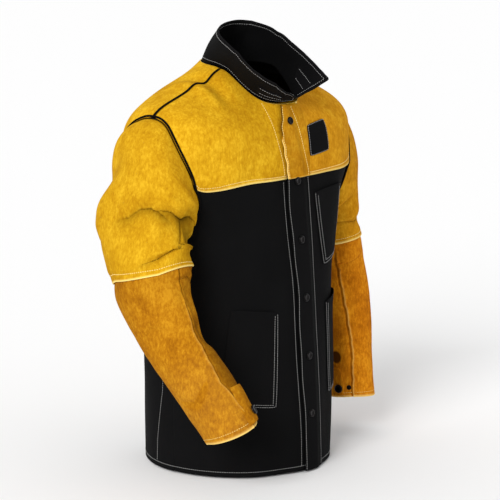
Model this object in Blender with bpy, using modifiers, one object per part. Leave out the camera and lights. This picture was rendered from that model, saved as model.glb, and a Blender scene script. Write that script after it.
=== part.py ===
"""Leather welding jacket in the shape it takes when worn.

Metres, +Z up. The jacket faces -Y and the wearer's right is -X. The origin is on the body's
axis, level with the base of the neck, where a hanger or a wearer holds the jacket up.
The body is one smooth form, read by an angle round it (0 at the centre front, positive towards
the wearer's left) and a height: 0 at the hem, 1 at the yoke seam and 2 at the neck seam.
"""

from math import acos, cos, pi, radians, sin

import bmesh
import bpy
import numpy as np
from mathutils import Matrix, Vector

# Body form
HEM_Z, YOKE_Z = -0.740, -0.194
HEM_HALF_WIDTH, YOKE_HALF_WIDTH = 0.178, 0.260
HEM_FRONT, YOKE_FRONT = 0.181, 0.145
HEM_BACK, YOKE_BACK = 0.174, 0.132
NECK_HALF_WIDTH, NECK_FRONT, NECK_BACK, NECK_CENTRE_Y = 0.070, 0.092, 0.090, -0.030
NECK_FRONT_Z, NECK_SIDE_Z, NECK_BACK_Z = -0.060, 0.009, 0.014

# Armhole, as an oval in angle and height
ARM_LOW, ARM_TOP = 0.86, 1.42
ARM_ANGLE = radians(90)
ARM_FRONT_SPAN, ARM_BACK_SPAN, ARM_SKEW = radians(27.5), radians(27.5), 0.55
SHOULDER_SEAM_TURN = radians(2)

# Cloth and leather
CLOTH, LEATHER, COLLAR_THICKNESS = 0.0026, 0.0030, 0.0040
SEAM_GAP = 0.0012

# Front closing: the wearer's left laps over the right
PLACKET_EDGE_X, PLACKET_SEAM_X, RIGHT_EDGE_X = -0.030, 0.031, 0.024
PLACKET_LIFT = 0.0050
SNAP_TOP_Z, SNAP_PITCH = -0.092, 0.1083
SNAP_XS = (-0.014, -0.008, -0.007, -0.003, -0.003, -0.003)
SNAP_CAP_RADIUS, SNAP_FLANGE_RADIUS, SNAP_POST_RADIUS, SNAP_BORE_RADIUS = 0.0072, 0.0062, 0.0022, 0.0030

# Sleeves: middle line of each, from the armhole past the elbow to the wrist
ARMS = {
    -1: ((-0.240, -0.012, -0.160), (-0.283, -0.018, -0.344), (-0.250, -0.198, -0.618)),
    1: ((0.240, -0.012, -0.160), (0.276, -0.004, -0.366), (0.287, -0.058, -0.668)),
}
ARM_STATIONS = (0.0, 0.35, 0.75, 1.0, 1.3, 1.7, 2.0)
ARM_SIDE_RADII = {
    -1: (0.060, 0.060, 0.058, 0.060, 0.054, 0.048, 0.043),
    1: (0.060, 0.056, 0.053, 0.053, 0.051, 0.047, 0.044),
}
ARM_DEPTH_RADII = {
    -1: (0.085, 0.098, 0.104, 0.085, 0.067, 0.060, 0.056),
    1: (0.085, 0.082, 0.076, 0.067, 0.060, 0.054, 0.049),
}
# How much longer each cuff is cut, and at which turn it is longest
CUFF_CUTS = {-1: (0.0175, radians(120)), 1: (0.0080, radians(125))}
SLEEVE_HEAD_END, ELBOW_ROUND = 0.75, 0.24
ARMHOLE_GAP = 0.0036

# Collar
COLLAR_HEIGHT, TAPE_THICKNESS = 0.082, 0.0014
COLLAR_RIGHT_ROOT, COLLAR_RIGHT_END = radians(-104), radians(12)
COLLAR_TAPER = ((-20, 12, 16.5, 17), (1.0, 0.56, 0.56, 1.0))
COLLAR_LEFT_END, WING_ROOT = radians(21), radians(76)


def mix(a, b, t):
    return a + (b - a) * t


def signed_power(value, exponent):
    return np.sign(value) * abs(value) ** exponent


def unit(vector):
    return np.asarray(vector, float) / np.linalg.norm(vector)


def bezier(points, t):
    a, b, c, d = (np.asarray(point, float) for point in points)
    return (1 - t) ** 3 * a + 3 * (1 - t) ** 2 * t * b + 3 * (1 - t) * t**2 * c + t**3 * d


def body_ring(angle, t):
    """A point on the level ring at t, from the hem at 0 to the yoke seam at 1."""
    power = 2 / mix(2.0, 2.5, t)
    half_width = mix(HEM_HALF_WIDTH, YOKE_HALF_WIDTH, t**5)
    front, back = mix(HEM_FRONT, YOKE_FRONT, t**1.3), mix(HEM_BACK, YOKE_BACK, t**2)
    depth = front if cos(angle) > 0 else back
    return np.array(
        (
            half_width * signed_power(sin(angle), power),
            -depth * signed_power(cos(angle), power),
            mix(HEM_Z, YOKE_Z, t),
        )
    )


def neck_ring(angle):
    """A point on the neck seam, which dips in a U towards the front."""
    power = 2 / 2.4
    forward = cos(angle)
    depth = NECK_FRONT if forward > 0 else NECK_BACK
    eased = (forward + (forward**2 + 0.02) ** 0.5) / 2
    dip = 1 - max(0.0, 1 - eased) ** 1.6
    rise = max(0.0, -forward) ** 1.4
    return np.array(
        (
            NECK_HALF_WIDTH * signed_power(sin(angle), power),
            NECK_CENTRE_Y - depth * signed_power(forward, power),
            NECK_SIDE_Z + (NECK_FRONT_Z - NECK_SIDE_Z) * dip + (NECK_BACK_Z - NECK_SIDE_Z) * rise,
        )
    )


def body(angle, height):
    """A point on the body form."""
    if height <= 1:
        return body_ring(angle, height)
    side, ahead = sin(angle) ** 2, cos(angle) > 0
    rise = mix(0.050 if ahead else 0.085, 0.160, side)
    reach = mix(0.045 if ahead else 0.100, 0.190, side)
    slope = radians(mix(74 if ahead else 50, 24, side))
    low, top = body_ring(angle, 1), neck_ring(angle)
    out = np.array((sin(angle) * cos(slope), -cos(angle) * cos(slope), -sin(slope)))
    return bezier((low, low + (0, 0, rise), top + reach * out, top), height - 1)


def body_normal(angle, height):
    step = 1e-3
    low, high = max(height - step, 0), min(height + step, 2)
    across = body(angle + step, height) - body(angle - step, height)
    up = body(angle, high) - body(angle, low)
    return unit(np.cross(across, up))


def angle_at_x(x, height):
    """The angle near the centre front where the body form has this x."""
    low, high = radians(-80), radians(80)
    for _ in range(40):
        middle = (low + high) / 2
        low, high = (middle, high) if body(middle, height)[0] < x else (low, middle)
    return middle


def height_at_z(x, z):
    low, high = 0.0, 2.0
    for _ in range(40):
        middle = (low + high) / 2
        if body(angle_at_x(x, middle), middle)[2] < z:
            low = middle
        else:
            high = middle
    return middle


def shoulder_angle(height):
    return pi / 2 + SHOULDER_SEAM_TURN * max(0.0, (height - ARM_TOP) / (2 - ARM_TOP))


def armhole_turn(height):
    """How far round its oval the armhole is at this height: 0 at the armpit, pi at the shoulder."""
    share = (height - ARM_LOW) / (ARM_TOP - ARM_LOW)
    return acos(min(1, max(-1, 1 - 2 * share)))


def armhole_angles(turn):
    up = cos(turn)
    front = abs(sin(turn)) * (0.94 + 0.78 * up + 0.38 * up**2)
    back = abs(sin(turn)) * (1 + ARM_SKEW * up)
    return ARM_ANGLE - ARM_FRONT_SPAN * front, ARM_ANGLE + ARM_BACK_SPAN * back


def side_edge(height, ahead):
    """The angle where a front or back panel ends: side seam, armhole or shoulder seam."""
    if ARM_LOW < height < ARM_TOP:
        return armhole_angles(armhole_turn(height))[0 if ahead else 1]
    return shoulder_angle(height) if height >= ARM_TOP else ARM_ANGLE


def armhole(turn, side):
    """A point round the armhole: 0 at the armpit, pi/2 in front, pi at the shoulder."""
    height = mix(ARM_LOW, ARM_TOP, (1 - cos(turn)) / 2)
    angle = armhole_angles(turn)[0 if sin(turn) >= 0 else 1]
    return body(side * angle, height)


# Meshes and materials


def material(name, color, roughness, metallic=0.0):
    made = bpy.data.materials.get(name)
    if made is None:
        made = bpy.data.materials.new(name)
        made.use_nodes = True
        shader = made.node_tree.nodes["Principled BSDF"]
        shader.inputs["Base Color"].default_value = (*color, 1)
        shader.inputs["Roughness"].default_value = roughness
        shader.inputs["Metallic"].default_value = metallic
    return made


def gold_suede():
    return material("gold_suede", (0.70, 0.40, 0.06), 0.9)


def brown_suede():
    return material("brown_suede", (0.55, 0.27, 0.04), 0.9)


def black_cotton():
    return material("black_cotton", (0.012, 0.012, 0.013), 0.85)


def black_piping():
    return material("black_piping", (0.02, 0.018, 0.018), 0.7)


def grip_tape():
    return material("grip_tape", (0.015, 0.015, 0.016), 0.95)


def gunmetal():
    return material("gunmetal", (0.10, 0.10, 0.11), 0.35, 1.0)


def add_mesh(name, points, faces, surface):
    mesh = bpy.data.meshes.new(name)
    mesh.from_pydata([tuple(map(float, point)) for point in points], [], faces)
    mesh.validate()
    mesh.materials.append(surface)
    mesh.shade_smooth()
    made = bpy.data.objects.new(name, mesh)
    PARTS.objects.link(made)
    return made


def grid_faces(rows, columns, wrap=False):
    """Quads of a grid whose points run along its rows."""
    last = columns if wrap else columns - 1
    return [
        (
            r * columns + c,
            r * columns + (c + 1) % columns,
            (r + 1) * columns + (c + 1) % columns,
            (r + 1) * columns + c,
        )
        for r in range(rows - 1)
        for c in range(last)
    ]


def shell(name, rows, thickness, surface, wrap=False, flip=False):
    """A sheet through rows of points, made solid inwards from the drawn side."""
    columns = len(rows[0])
    faces = grid_faces(len(rows), columns, wrap)
    if flip:
        faces = [face[::-1] for face in faces]
    made = add_mesh(name, [point for row in rows for point in row], faces, surface)
    solid = made.modifiers.new("Thickness", "SOLIDIFY")
    solid.thickness = thickness
    solid.offset = -1
    solid.use_even_offset = True
    solid.thickness_clamp = 0.5
    return made


def set_origin(piece, point):
    """Puts the piece's origin on its joint's axis without moving its shape."""
    piece.data.transform(Matrix.Translation(-Vector(point)))
    piece.location = point


def spaced(low, high, count):
    return np.linspace(low, high, count)


def raised(angle, height, lift):
    return body(angle, height) + lift * body_normal(angle, height)


# Body panels


def seam_angle(angle, height):
    """The angle that SEAM_GAP spans at this point of the body form."""
    point = body(angle, height)
    reach = np.hypot(point[0], point[1] - NECK_CENTRE_Y)
    return SEAM_GAP / max(reach, 0.05)


def front_rows(side, heights, centre_x, columns, lift=0.0):
    """Rows from the centre front edge to the side seam, armhole or shoulder seam."""
    rows = []
    for height in heights:
        start = angle_at_x(centre_x, height)
        end = side * side_edge(height, True)
        end -= side * seam_angle(end, height)
        rows.append([raised(angle, height, lift) for angle in spaced(start, end, columns)])
    return rows


def back_rows(heights, columns, lift=0.0):
    rows = []
    for height in heights:
        edge = side_edge(height, False)
        gap = seam_angle(edge, height)
        angles = spaced(edge + gap, 2 * pi - edge - gap, columns)
        rows.append([raised(angle, height, lift) for angle in angles])
    return rows


def armhole_height(degrees):
    return mix(ARM_LOW, ARM_TOP, (1 - cos(radians(degrees))) / 2)


LOWER_HEIGHTS = (
    *(0.0, 0.16, 0.32, 0.48, 0.64, 0.77),
    *(armhole_height(turn) for turn in (0, 15, 30, 45)),
    0.998,
)
UPPER_HEIGHTS = (1.002, *(armhole_height(turn) for turn in range(75, 181, 15)), 1.54, 1.70, 1.86, 1.992)


def make_body():
    shell("back_panel", back_rows(LOWER_HEIGHTS, 15), CLOTH, black_cotton())
    shell("back_yoke", back_rows(UPPER_HEIGHTS, 13), LEATHER, gold_suede())
    for side, word, centre_x in ((-1, "right", RIGHT_EDGE_X), (1, "left", PLACKET_SEAM_X + SEAM_GAP)):
        flip = side < 0
        lower = front_rows(side, LOWER_HEIGHTS, centre_x, 10)
        shell(f"{word}_front_panel", lower, CLOTH, black_cotton(), flip=flip)
        upper = front_rows(side, UPPER_HEIGHTS, centre_x, 9)
        shell(f"{word}_front_yoke", upper, LEATHER, gold_suede(), flip=flip)


def tube(name, points, radius, surface):
    """A round cord through the points, as a mesh."""
    curve = bpy.data.curves.new(name, "CURVE")
    curve.dimensions = "3D"
    curve.bevel_depth = radius
    curve.bevel_resolution = 1
    curve.use_fill_caps = True
    spline = curve.splines.new("POLY")
    spline.points.add(len(points) - 1)
    for target, point in zip(spline.points, points):
        target.co = (*map(float, point), 1)
    guide = bpy.data.objects.new(name, curve)
    PARTS.objects.link(guide)
    graph = bpy.context.evaluated_depsgraph_get()
    mesh = bpy.data.meshes.new_from_object(guide.evaluated_get(graph))
    bpy.data.objects.remove(guide)
    shape = bmesh.new()
    shape.from_mesh(mesh)
    bmesh.ops.remove_doubles(shape, verts=shape.verts, dist=1e-6)
    bmesh.ops.recalc_face_normals(shape, faces=shape.faces)
    shape.to_mesh(mesh)
    shape.free()
    mesh.materials.clear()
    mesh.materials.append(surface)
    mesh.shade_smooth()
    made = bpy.data.objects.new(name, mesh)
    PARTS.objects.link(made)
    return made


PIPING_RADIUS = 0.0015
PIPING_LIFT = PIPING_RADIUS + 0.0014
PIPING_SETBACK = radians(1.4)


def make_piping():
    """A cord along each shoulder seam, and one round each armhole that stops short of the armpit."""
    for side, word in ((-1, "right"), (1, "left")):
        heights = spaced(ARM_TOP + 0.040, 1.955, 9)
        points = [raised(side * shoulder_angle(h), h, PIPING_LIFT) for h in heights]
        tube(f"{word}_shoulder_piping", points, PIPING_RADIUS, black_piping())
        ring = []
        for turn in spaced(radians(35), radians(325), 25):
            height = mix(ARM_LOW, ARM_TOP + 0.016, (1 - cos(turn)) / 2)
            front, back = armhole_angles(turn)
            away = PIPING_SETBACK * abs(sin(turn))
            angle = front - away if sin(turn) >= 0 else back + away
            ring.append(raised(side * angle, height, PIPING_LIFT))
        tube(f"{word}_armhole_piping", ring, PIPING_RADIUS, black_piping())


# Placket and snaps


def placket_rows(heights, lift):
    """Rows across the lap, from its free edge to near the seam that joins it to the left front."""
    rows = []
    for height in heights:
        xs = spaced(PLACKET_EDGE_X, PLACKET_SEAM_X - 0.006, 6)
        rows.append([raised(angle_at_x(x, height), height, lift) for x in xs])
    return rows


def placket_hinge():
    """The lower end of the line that the lap swings about, along its seam."""
    return raised(angle_at_x(PLACKET_SEAM_X, 0.0), 0.0, PLACKET_LIFT)


def make_placket():
    lift = PLACKET_LIFT + CLOTH
    cloth = shell("placket_cloth", placket_rows(spaced(0.0, 0.998, 12), lift), CLOTH, black_cotton())
    leather = shell("placket_leather", placket_rows(spaced(1.002, 1.97, 9), lift), CLOTH, gold_suede())
    for piece in (cloth, leather):
        set_origin(piece, placket_hinge())


def turned(name, profile, place, surface, steps=14):
    """A solid turned about the local Z of place, from a profile given as (radius, height)."""
    mesh = bpy.data.meshes.new(name)
    mesh.from_pydata([(r, 0, z) for r, z in profile], [(i, i + 1) for i in range(len(profile) - 1)], [])
    mesh.materials.append(surface)
    made = bpy.data.objects.new(name, mesh)
    PARTS.objects.link(made)
    made.matrix_world = place
    turn = made.modifiers.new("Turn", "SCREW")
    turn.angle = 2 * pi
    turn.steps = turn.render_steps = steps
    turn.axis = "Z"
    turn.use_merge_vertices = True
    turn.merge_threshold = 1e-5
    return made


def place_on(point, normal):
    """A frame at the point whose local Z is the normal."""
    z = unit(normal)
    x = unit(np.cross((0, 0, 1) if abs(z[2]) < 0.9 else (0, 1, 0), z))
    y = np.cross(z, x)
    frame = Matrix(np.column_stack((x, y, z)).tolist()).to_4x4()
    frame.translation = point
    return frame


CAP_HEIGHT, SOCKET_HEIGHT, FLANGE_HEIGHT, POST_HEIGHT = 0.0024, 0.0022, 0.0010, 0.0033
FASTENER_GAP = 0.0005


def cap_profile(base):
    """A low dome over a rim."""
    r, h = SNAP_CAP_RADIUS, CAP_HEIGHT
    dome = ((0, h), (0.55 * r, 0.92 * h), (0.85 * r, 0.62 * h), (r, 0.33 * h), (r, 0), (0, 0))
    return [(radius, base + height) for radius, height in dome]


def stud_profile(base):
    r, neck = SNAP_FLANGE_RADIUS, SNAP_POST_RADIUS
    top = base + POST_HEIGHT
    return (
        (0, top),
        (neck, top),
        (neck, base + FLANGE_HEIGHT),
        (r, base + FLANGE_HEIGHT),
        (r, base),
        (0, base),
    )


def socket_profile(top):
    r, bore, low = SNAP_FLANGE_RADIUS, SNAP_BORE_RADIUS, top - SOCKET_HEIGHT
    return ((bore, top), (r, top), (r, low), (bore, low), (bore, top))


def make_snaps():
    """Under the lap a stud on the right front, and on the lap a socket inside and a cap outside."""
    for number, x in enumerate(SNAP_XS, 1):
        height = height_at_z(x, SNAP_TOP_Z - (number - 1) * SNAP_PITCH)
        angle = angle_at_x(x, height)
        place = place_on(body(angle, height), body_normal(angle, height))
        turned(f"snap_stud_{number}", stud_profile(FASTENER_GAP), place, gunmetal())
        turned(f"snap_socket_{number}", socket_profile(PLACKET_LIFT - FASTENER_GAP), place, gunmetal())
        turned(f"snap_cap_{number}", cap_profile(PLACKET_LIFT + CLOTH + FASTENER_GAP), place, gunmetal())


# Pockets and patch


def pocket_rows(corners, rows, columns, side, lift):
    """Rows over a four-sided patch whose corners are (x, z) at lower and upper, inner and outer."""
    (low_in, low_out), (high_in, high_out) = corners
    made = []
    for v in spaced(0, 1, rows):
        row = []
        for u in spaced(0, 1, columns):
            low = mix(np.array(low_in), np.array(low_out), u)
            high = mix(np.array(high_in), np.array(high_out), u)
            x, z = mix(low, high, v)
            height = height_at_z(x * side, z)
            row.append(raised(angle_at_x(x * side, height), height, lift))
        made.append(row)
    return made


HIP_POCKET = (((0.084, -0.614), (0.158, -0.606)), ((0.074, -0.437), (0.150, -0.425)))
RIGHT_HIP_POCKET = (((0.076, -0.614), (0.154, -0.606)), ((0.066, -0.437), (0.146, -0.425)))
CHEST_POCKET = (((0.072, -0.368), (0.160, -0.350)), ((0.047, -0.228), (0.150, -0.220)))
POCKET_LIFT, PATCH_LIFT, PATCH_THICKNESS = 0.0058, 0.0024, 0.0012
CHEST_PATCH = (((0.039, -0.160), (0.100, -0.154)), ((0.039, -0.104), (0.100, -0.098)))


def make_pockets():
    for name, corners, side in (
        ("right_hip_pocket", RIGHT_HIP_POCKET, -1),
        ("left_hip_pocket", HIP_POCKET, 1),
        ("chest_pocket", CHEST_POCKET, 1),
    ):
        rows = pocket_rows(corners, 7, 6, side, POCKET_LIFT)
        shell(name, rows, CLOTH, black_cotton(), flip=side < 0)
    rows = pocket_rows(CHEST_PATCH, 4, 5, 1, PATCH_LIFT)
    shell("chest_patch", rows, PATCH_THICKNESS, black_cotton())


# Collar


COLLAR_LEANS = (
    (-160, -0.15, -0.62),
    (-135, -0.27, -0.69),
    (-104, -0.42, -0.76),
    (-90, -0.52, -0.74),
    (-80, -0.57, -0.70),
    (-70, -0.58, -0.65),
    (-50, -0.59, -0.59),
    (-35, -0.63, -0.58),
    (-20, -0.68, -0.58),
    (-12, -0.72, -0.56),
    (-4, -0.73, -0.60),
    (4, -0.74, -0.60),
    (12, -0.72, -0.67),
    (16, -0.70, -0.69),
    (21, 0.11, -0.86),
    (28, 0.00, -0.82),
    (35, -0.09, -0.735),
    (45, -0.155, -0.59),
    (55, -0.20, -0.49),
    (65, -0.28, -0.49),
    (76, -0.376, -0.52),
    (90, -0.44, -0.52),
    (135, -0.18, -0.52),
    (180, -0.07, -0.58),
    (200, -0.15, -0.62),
    (225, -0.27, -0.69),
    (256, -0.42, -0.76),
)


def collar_lean(angle):
    """Which way the standing collar leaves the neck seam. It follows a neck that leans forwards,
    spreads at the front ends, and lies further out on the wearer's right than on the left."""
    stations, across, ahead = zip(*COLLAR_LEANS)
    lean_x = np.interp(np.degrees(angle), stations, across)
    lean_y = np.interp(np.degrees(angle), stations, ahead)
    return np.array((lean_x, lean_y, (1 - lean_x**2 - lean_y**2) ** 0.5))


def collar(angle, share):
    """A point on the collar's outer face: share 0 at the neck seam and 1 at its top edge."""
    foot = neck_ring(angle) + np.array((0, 0, 0.004))
    bow = 0.10 * share * (1 - share)
    lean = collar_lean(angle)
    out = np.array((sin(angle), -cos(angle), 0))
    height = COLLAR_HEIGHT * np.interp(np.degrees(angle), *COLLAR_TAPER)
    return foot + height * (share * lean + bow * out)


def collar_rows(start, end, columns):
    return [[collar(angle, share) for angle in spaced(start, end, columns)] for share in spaced(0, 1, 5)]


def collar_normal(angle, share):
    step = 1e-3
    across = collar(angle + step, share) - collar(angle - step, share)
    up = collar(angle, share + step) - collar(angle, share - step)
    return unit(np.cross(across, up))


def tape_rows(angles, shares, lift):
    """Rows over a strip of grip tape on the collar's outer face, or inside it where lift is negative."""
    rows = []
    for share in spaced(*shares, 3):
        row = [collar(a, share) + lift * collar_normal(a, share) for a in spaced(*angles, 5)]
        rows.append(row)
    return rows


def make_collar():
    """A stand in three lengths: the left one folds out as a wing, and tapes close the front."""
    rows = collar_rows(COLLAR_RIGHT_ROOT, COLLAR_RIGHT_END, 9)
    shell("collar_right", rows, COLLAR_THICKNESS, black_cotton())
    rows = collar_rows(WING_ROOT + radians(2.5), 2 * pi + COLLAR_RIGHT_ROOT - radians(3), 14)
    shell("collar_back", rows, COLLAR_THICKNESS, black_cotton())
    rows = collar_rows(COLLAR_LEFT_END, WING_ROOT - radians(2.5), 7)
    wing = shell("collar_left", rows, COLLAR_THICKNESS, black_cotton())
    rows = tape_rows((radians(-48), radians(-8)), (0.22, 0.50), TAPE_THICKNESS + 0.0004)
    shell("collar_loop_tape", rows, TAPE_THICKNESS, grip_tape())
    rows = tape_rows((radians(28), radians(56)), (0.28, 0.60), -COLLAR_THICKNESS - 0.0012)
    hook_tape = shell("collar_hook_tape", rows, TAPE_THICKNESS, grip_tape())
    for piece in (wing, hook_tape):
        set_origin(piece, collar(WING_ROOT, 0.0))


LOOP_HALF_WIDTH, LOOP_DROP, LOOP_START = 0.028, 0.020, 0.006
LOOP_CLEARANCE, LOOP_RADIUS = 0.0085, 0.0018


def make_hanger_loop():
    """A small cord loop inside the back of the neck."""
    centre = neck_ring(pi)
    points = []
    for turn in spaced(0, pi, 9):
        across, down = LOOP_HALF_WIDTH * cos(turn), LOOP_START + LOOP_DROP * sin(turn)
        points.append(centre + np.array((across, -LOOP_CLEARANCE, -down)))
    tube("hanger_loop", points, LOOP_RADIUS, black_piping())


# Sleeves


def arm_middle(side, s):
    """The sleeve's middle line, with its corner at the elbow rounded."""
    top, elbow, wrist = np.array(ARMS[side])
    before, after = elbow - top, wrist - elbow
    past = s - 1
    if past <= -ELBOW_ROUND:
        return elbow + past * before
    if past >= ELBOW_ROUND:
        return elbow + past * after
    turned_in = (past + ELBOW_ROUND) ** 2 * after - (past - ELBOW_ROUND) ** 2 * before
    return elbow + turned_in / (4 * ELBOW_ROUND)


def arm_frame(side, s):
    """Middle, direction down the sleeve, direction towards the body and direction forwards."""
    step = 0.02
    down = unit(arm_middle(side, s + step) - arm_middle(side, s - step))
    ahead = unit(np.array((0, -1, 0)) - down * (np.array((0, -1, 0)) @ down))
    inward = np.cross(down, ahead) * -side
    inward = inward if inward[0] * side < 0 else -inward
    return arm_middle(side, s), down, unit(inward), ahead


def cuff_cut(side, s, turn):
    """How much further the sleeve reaches here, because its end is cut aslant."""
    amount, longest = CUFF_CUTS[side]
    towards = cos(turn - longest)
    ends = 0.65 * towards + 0.35 * (towards**2 + 0.01) ** 0.5
    return amount * ends * max(0.0, (s - 1.7) / 0.3) ** 2


def arm_ring(side, s, turn):
    """A point round the sleeve at s: turn 0 faces the body, pi/2 forwards and pi outwards."""
    middle, down, inward, ahead = arm_frame(side, s)
    side_radius = np.interp(s, ARM_STATIONS, ARM_SIDE_RADII[side])
    depth_radius = np.interp(s, ARM_STATIONS, ARM_DEPTH_RADII[side])
    ring = middle + side_radius * cos(turn) * inward + depth_radius * sin(turn) * ahead
    return ring + cuff_cut(side, s, turn) * down


def sleeve(side, s, turn):
    """A point on the sleeve: s 0 at the armhole, 1 at the elbow seam and 2 at the cuff."""
    if s >= SLEEVE_HEAD_END:
        return arm_ring(side, s, turn)
    end = arm_ring(side, SLEEVE_HEAD_END, turn)
    down = arm_frame(side, SLEEVE_HEAD_END)[1]
    start = armhole(turn, side) + np.array((side * ARMHOLE_GAP, 0, -0.0004))
    above = (1 - cos(turn)) / 2
    leave = unit((side * mix(0.35, 0.85, above), -0.30 * sin(turn), -mix(0.90, 0.40, above)))
    first, last = mix(0.008, 0.062, above), mix(0.008, 0.110, above)
    return bezier((start, start + first * leave, end - last * down, end), s / SLEEVE_HEAD_END)


RING_POINTS = 24


def sleeve_rows(side, stations):
    rows = []
    for s in stations:
        row = []
        for turn in spaced(0, 2 * pi, RING_POINTS + 1)[:-1]:
            row.append(sleeve(side, s, turn))
        rows.append(row)
    return rows


def elbow_axis(side):
    """A point on the elbow's crease, in front, on the level line that the forearm turns about."""
    return arm_ring(side, 1.0, pi / 2)


CUFF_TAB_TURNS = {-1: (radians(98), radians(60)), 1: (radians(-22), radians(20))}
CUFF_SNAP_TURNS = {-1: (radians(70), radians(50)), 1: (radians(10), radians(31))}
TAB_LIFT, TAB_START, TAB_END, CUFF_SNAP_S = 0.0062, 1.80, 1.985, 1.94


def cuff_tab_rows(side):
    """The vent's flap: a strip over the cuff, from its sewn edge to its free edge."""
    sewn, free = sorted(CUFF_TAB_TURNS[side])
    rows = []
    for s in spaced(TAB_START, TAB_END, 4):
        row = []
        for turn in spaced(sewn, free, 5):
            point = arm_ring(side, s, turn)
            row.append(point + TAB_LIFT * unit(point - arm_middle(side, s)))
        rows.append(row)
    return rows


def cuff_tab_hinge(side):
    """The cuff end of the tab's sewn edge."""
    point = arm_ring(side, TAB_END, CUFF_TAB_TURNS[side][0])
    return point + TAB_LIFT * unit(point - arm_middle(side, TAB_END))


def cuff_snap_place(side, turn):
    point = arm_ring(side, CUFF_SNAP_S, turn)
    step = radians(6)
    ahead = arm_ring(side, CUFF_SNAP_S, turn + step) - arm_ring(side, CUFF_SNAP_S, turn - step)
    normal = side * unit(np.cross(arm_frame(side, CUFF_SNAP_S)[1], ahead))
    return place_on(point, normal)


UPPER_SLEEVE = (0.0, 0.08, 0.2, 0.38, 0.56, 0.75, 0.922)
ELBOW_BAND = (0.940, 0.990)
LOWER_SLEEVE = (1.008, 1.16, 1.34, 1.56, 1.74, 1.86, 1.948)
CUFF_HEM = (1.953, 2.0)
CUFF_STUD_PROFILE = ((0, 0.0016), (0.0045, 0.0014), (0.0048, 0.0006), (0, 0.0006))


def make_sleeve(side, word):
    """One sleeve, from the armhole to the cuff, with its cuff tab and snaps."""
    for name, stations, surface, pivot in (
        ("upper_sleeve", UPPER_SLEEVE, gold_suede(), armhole(pi, side)),
        ("elbow_band", ELBOW_BAND, gold_suede(), armhole(pi, side)),
        ("lower_sleeve", LOWER_SLEEVE, brown_suede(), elbow_axis(side)),
        ("cuff_hem", CUFF_HEM, brown_suede(), elbow_axis(side)),
    ):
        rows = sleeve_rows(side, stations)
        piece = shell(f"{word}_{name}", rows, LEATHER, surface, wrap=True, flip=side > 0)
        set_origin(piece, pivot)
    tab = shell(f"{word}_cuff_tab", cuff_tab_rows(side), LEATHER, brown_suede(), flip=side > 0)
    set_origin(tab, cuff_tab_hinge(side))
    closed, tighter = CUFF_SNAP_TURNS[side]
    for label, turn in (("cuff_stud", closed), ("spare_stud", tighter)):
        turned(f"{word}_{label}", CUFF_STUD_PROFILE, cuff_snap_place(side, turn), gunmetal())
    cap = cap_profile(TAB_LIFT + FASTENER_GAP)
    turned(f"{word}_cuff_cap", cap, cuff_snap_place(side, closed), gunmetal())


for leftover in list(bpy.data.objects):
    bpy.data.objects.remove(leftover)

PARTS = bpy.data.collections.new("welding_jacket")
bpy.context.scene.collection.children.link(PARTS)

make_body()
make_piping()
make_placket()
make_snaps()
make_pockets()
make_collar()
make_hanger_loop()
make_sleeve(-1, "right")
make_sleeve(1, "left")
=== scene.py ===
"""Looks of the leather welding jacket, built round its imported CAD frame.

The panels repeat part.py's body, collar and sleeve forms with fine grids, and add folds, rolled
edges and stitches. Metres, +Z up, the jacket faces -Y and the wearer's right is -X.
"""

from math import cos, pi, radians, sin

import bpy
import numpy as np
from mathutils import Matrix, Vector


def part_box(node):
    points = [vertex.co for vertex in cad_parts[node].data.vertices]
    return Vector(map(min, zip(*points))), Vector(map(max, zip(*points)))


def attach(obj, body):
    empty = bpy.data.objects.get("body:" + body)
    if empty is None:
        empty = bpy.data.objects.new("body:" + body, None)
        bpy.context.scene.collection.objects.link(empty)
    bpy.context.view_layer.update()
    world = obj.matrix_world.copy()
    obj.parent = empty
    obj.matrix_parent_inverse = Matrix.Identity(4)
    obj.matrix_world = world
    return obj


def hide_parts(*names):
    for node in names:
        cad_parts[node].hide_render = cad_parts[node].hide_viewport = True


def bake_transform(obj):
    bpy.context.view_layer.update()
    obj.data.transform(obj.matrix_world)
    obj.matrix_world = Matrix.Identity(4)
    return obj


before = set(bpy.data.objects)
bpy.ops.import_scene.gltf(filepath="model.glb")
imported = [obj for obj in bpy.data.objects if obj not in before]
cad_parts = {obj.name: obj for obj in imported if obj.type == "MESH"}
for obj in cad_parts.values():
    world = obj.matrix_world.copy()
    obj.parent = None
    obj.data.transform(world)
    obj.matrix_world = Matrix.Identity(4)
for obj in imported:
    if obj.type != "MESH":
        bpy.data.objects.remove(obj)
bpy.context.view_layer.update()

# ---- Forms shared with the CAD -------------------------------------------------------------

HEM_Z, YOKE_Z = -0.740, -0.194
HEM_HALF_WIDTH, YOKE_HALF_WIDTH = 0.178, 0.260
HEM_FRONT, YOKE_FRONT = 0.181, 0.145
HEM_BACK, YOKE_BACK = 0.174, 0.132
NECK_HALF_WIDTH, NECK_FRONT, NECK_BACK, NECK_CENTRE_Y = 0.070, 0.092, 0.090, -0.030
NECK_FRONT_Z, NECK_SIDE_Z, NECK_BACK_Z = -0.060, 0.009, 0.014
ARM_LOW, ARM_TOP = 0.86, 1.42
ARM_ANGLE = radians(90)
ARM_FRONT_SPAN, ARM_BACK_SPAN, ARM_SKEW = radians(27.5), radians(27.5), 0.55
SHOULDER_SEAM_TURN = radians(2)
PLACKET_SEAM_X, RIGHT_EDGE_X, PLACKET_LIFT = 0.031, 0.024, 0.0050
SNAP_TOP_Z, SNAP_PITCH = -0.092, 0.1083
SNAP_XS = (-0.014, -0.008, -0.007, -0.003, -0.003, -0.003)
ARMS = {
    -1: ((-0.240, -0.012, -0.160), (-0.283, -0.018, -0.344), (-0.250, -0.198, -0.618)),
    1: ((0.240, -0.012, -0.160), (0.276, -0.004, -0.366), (0.287, -0.058, -0.668)),
}
ARM_STATIONS = (0.0, 0.35, 0.75, 1.0, 1.3, 1.7, 2.0)
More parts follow.
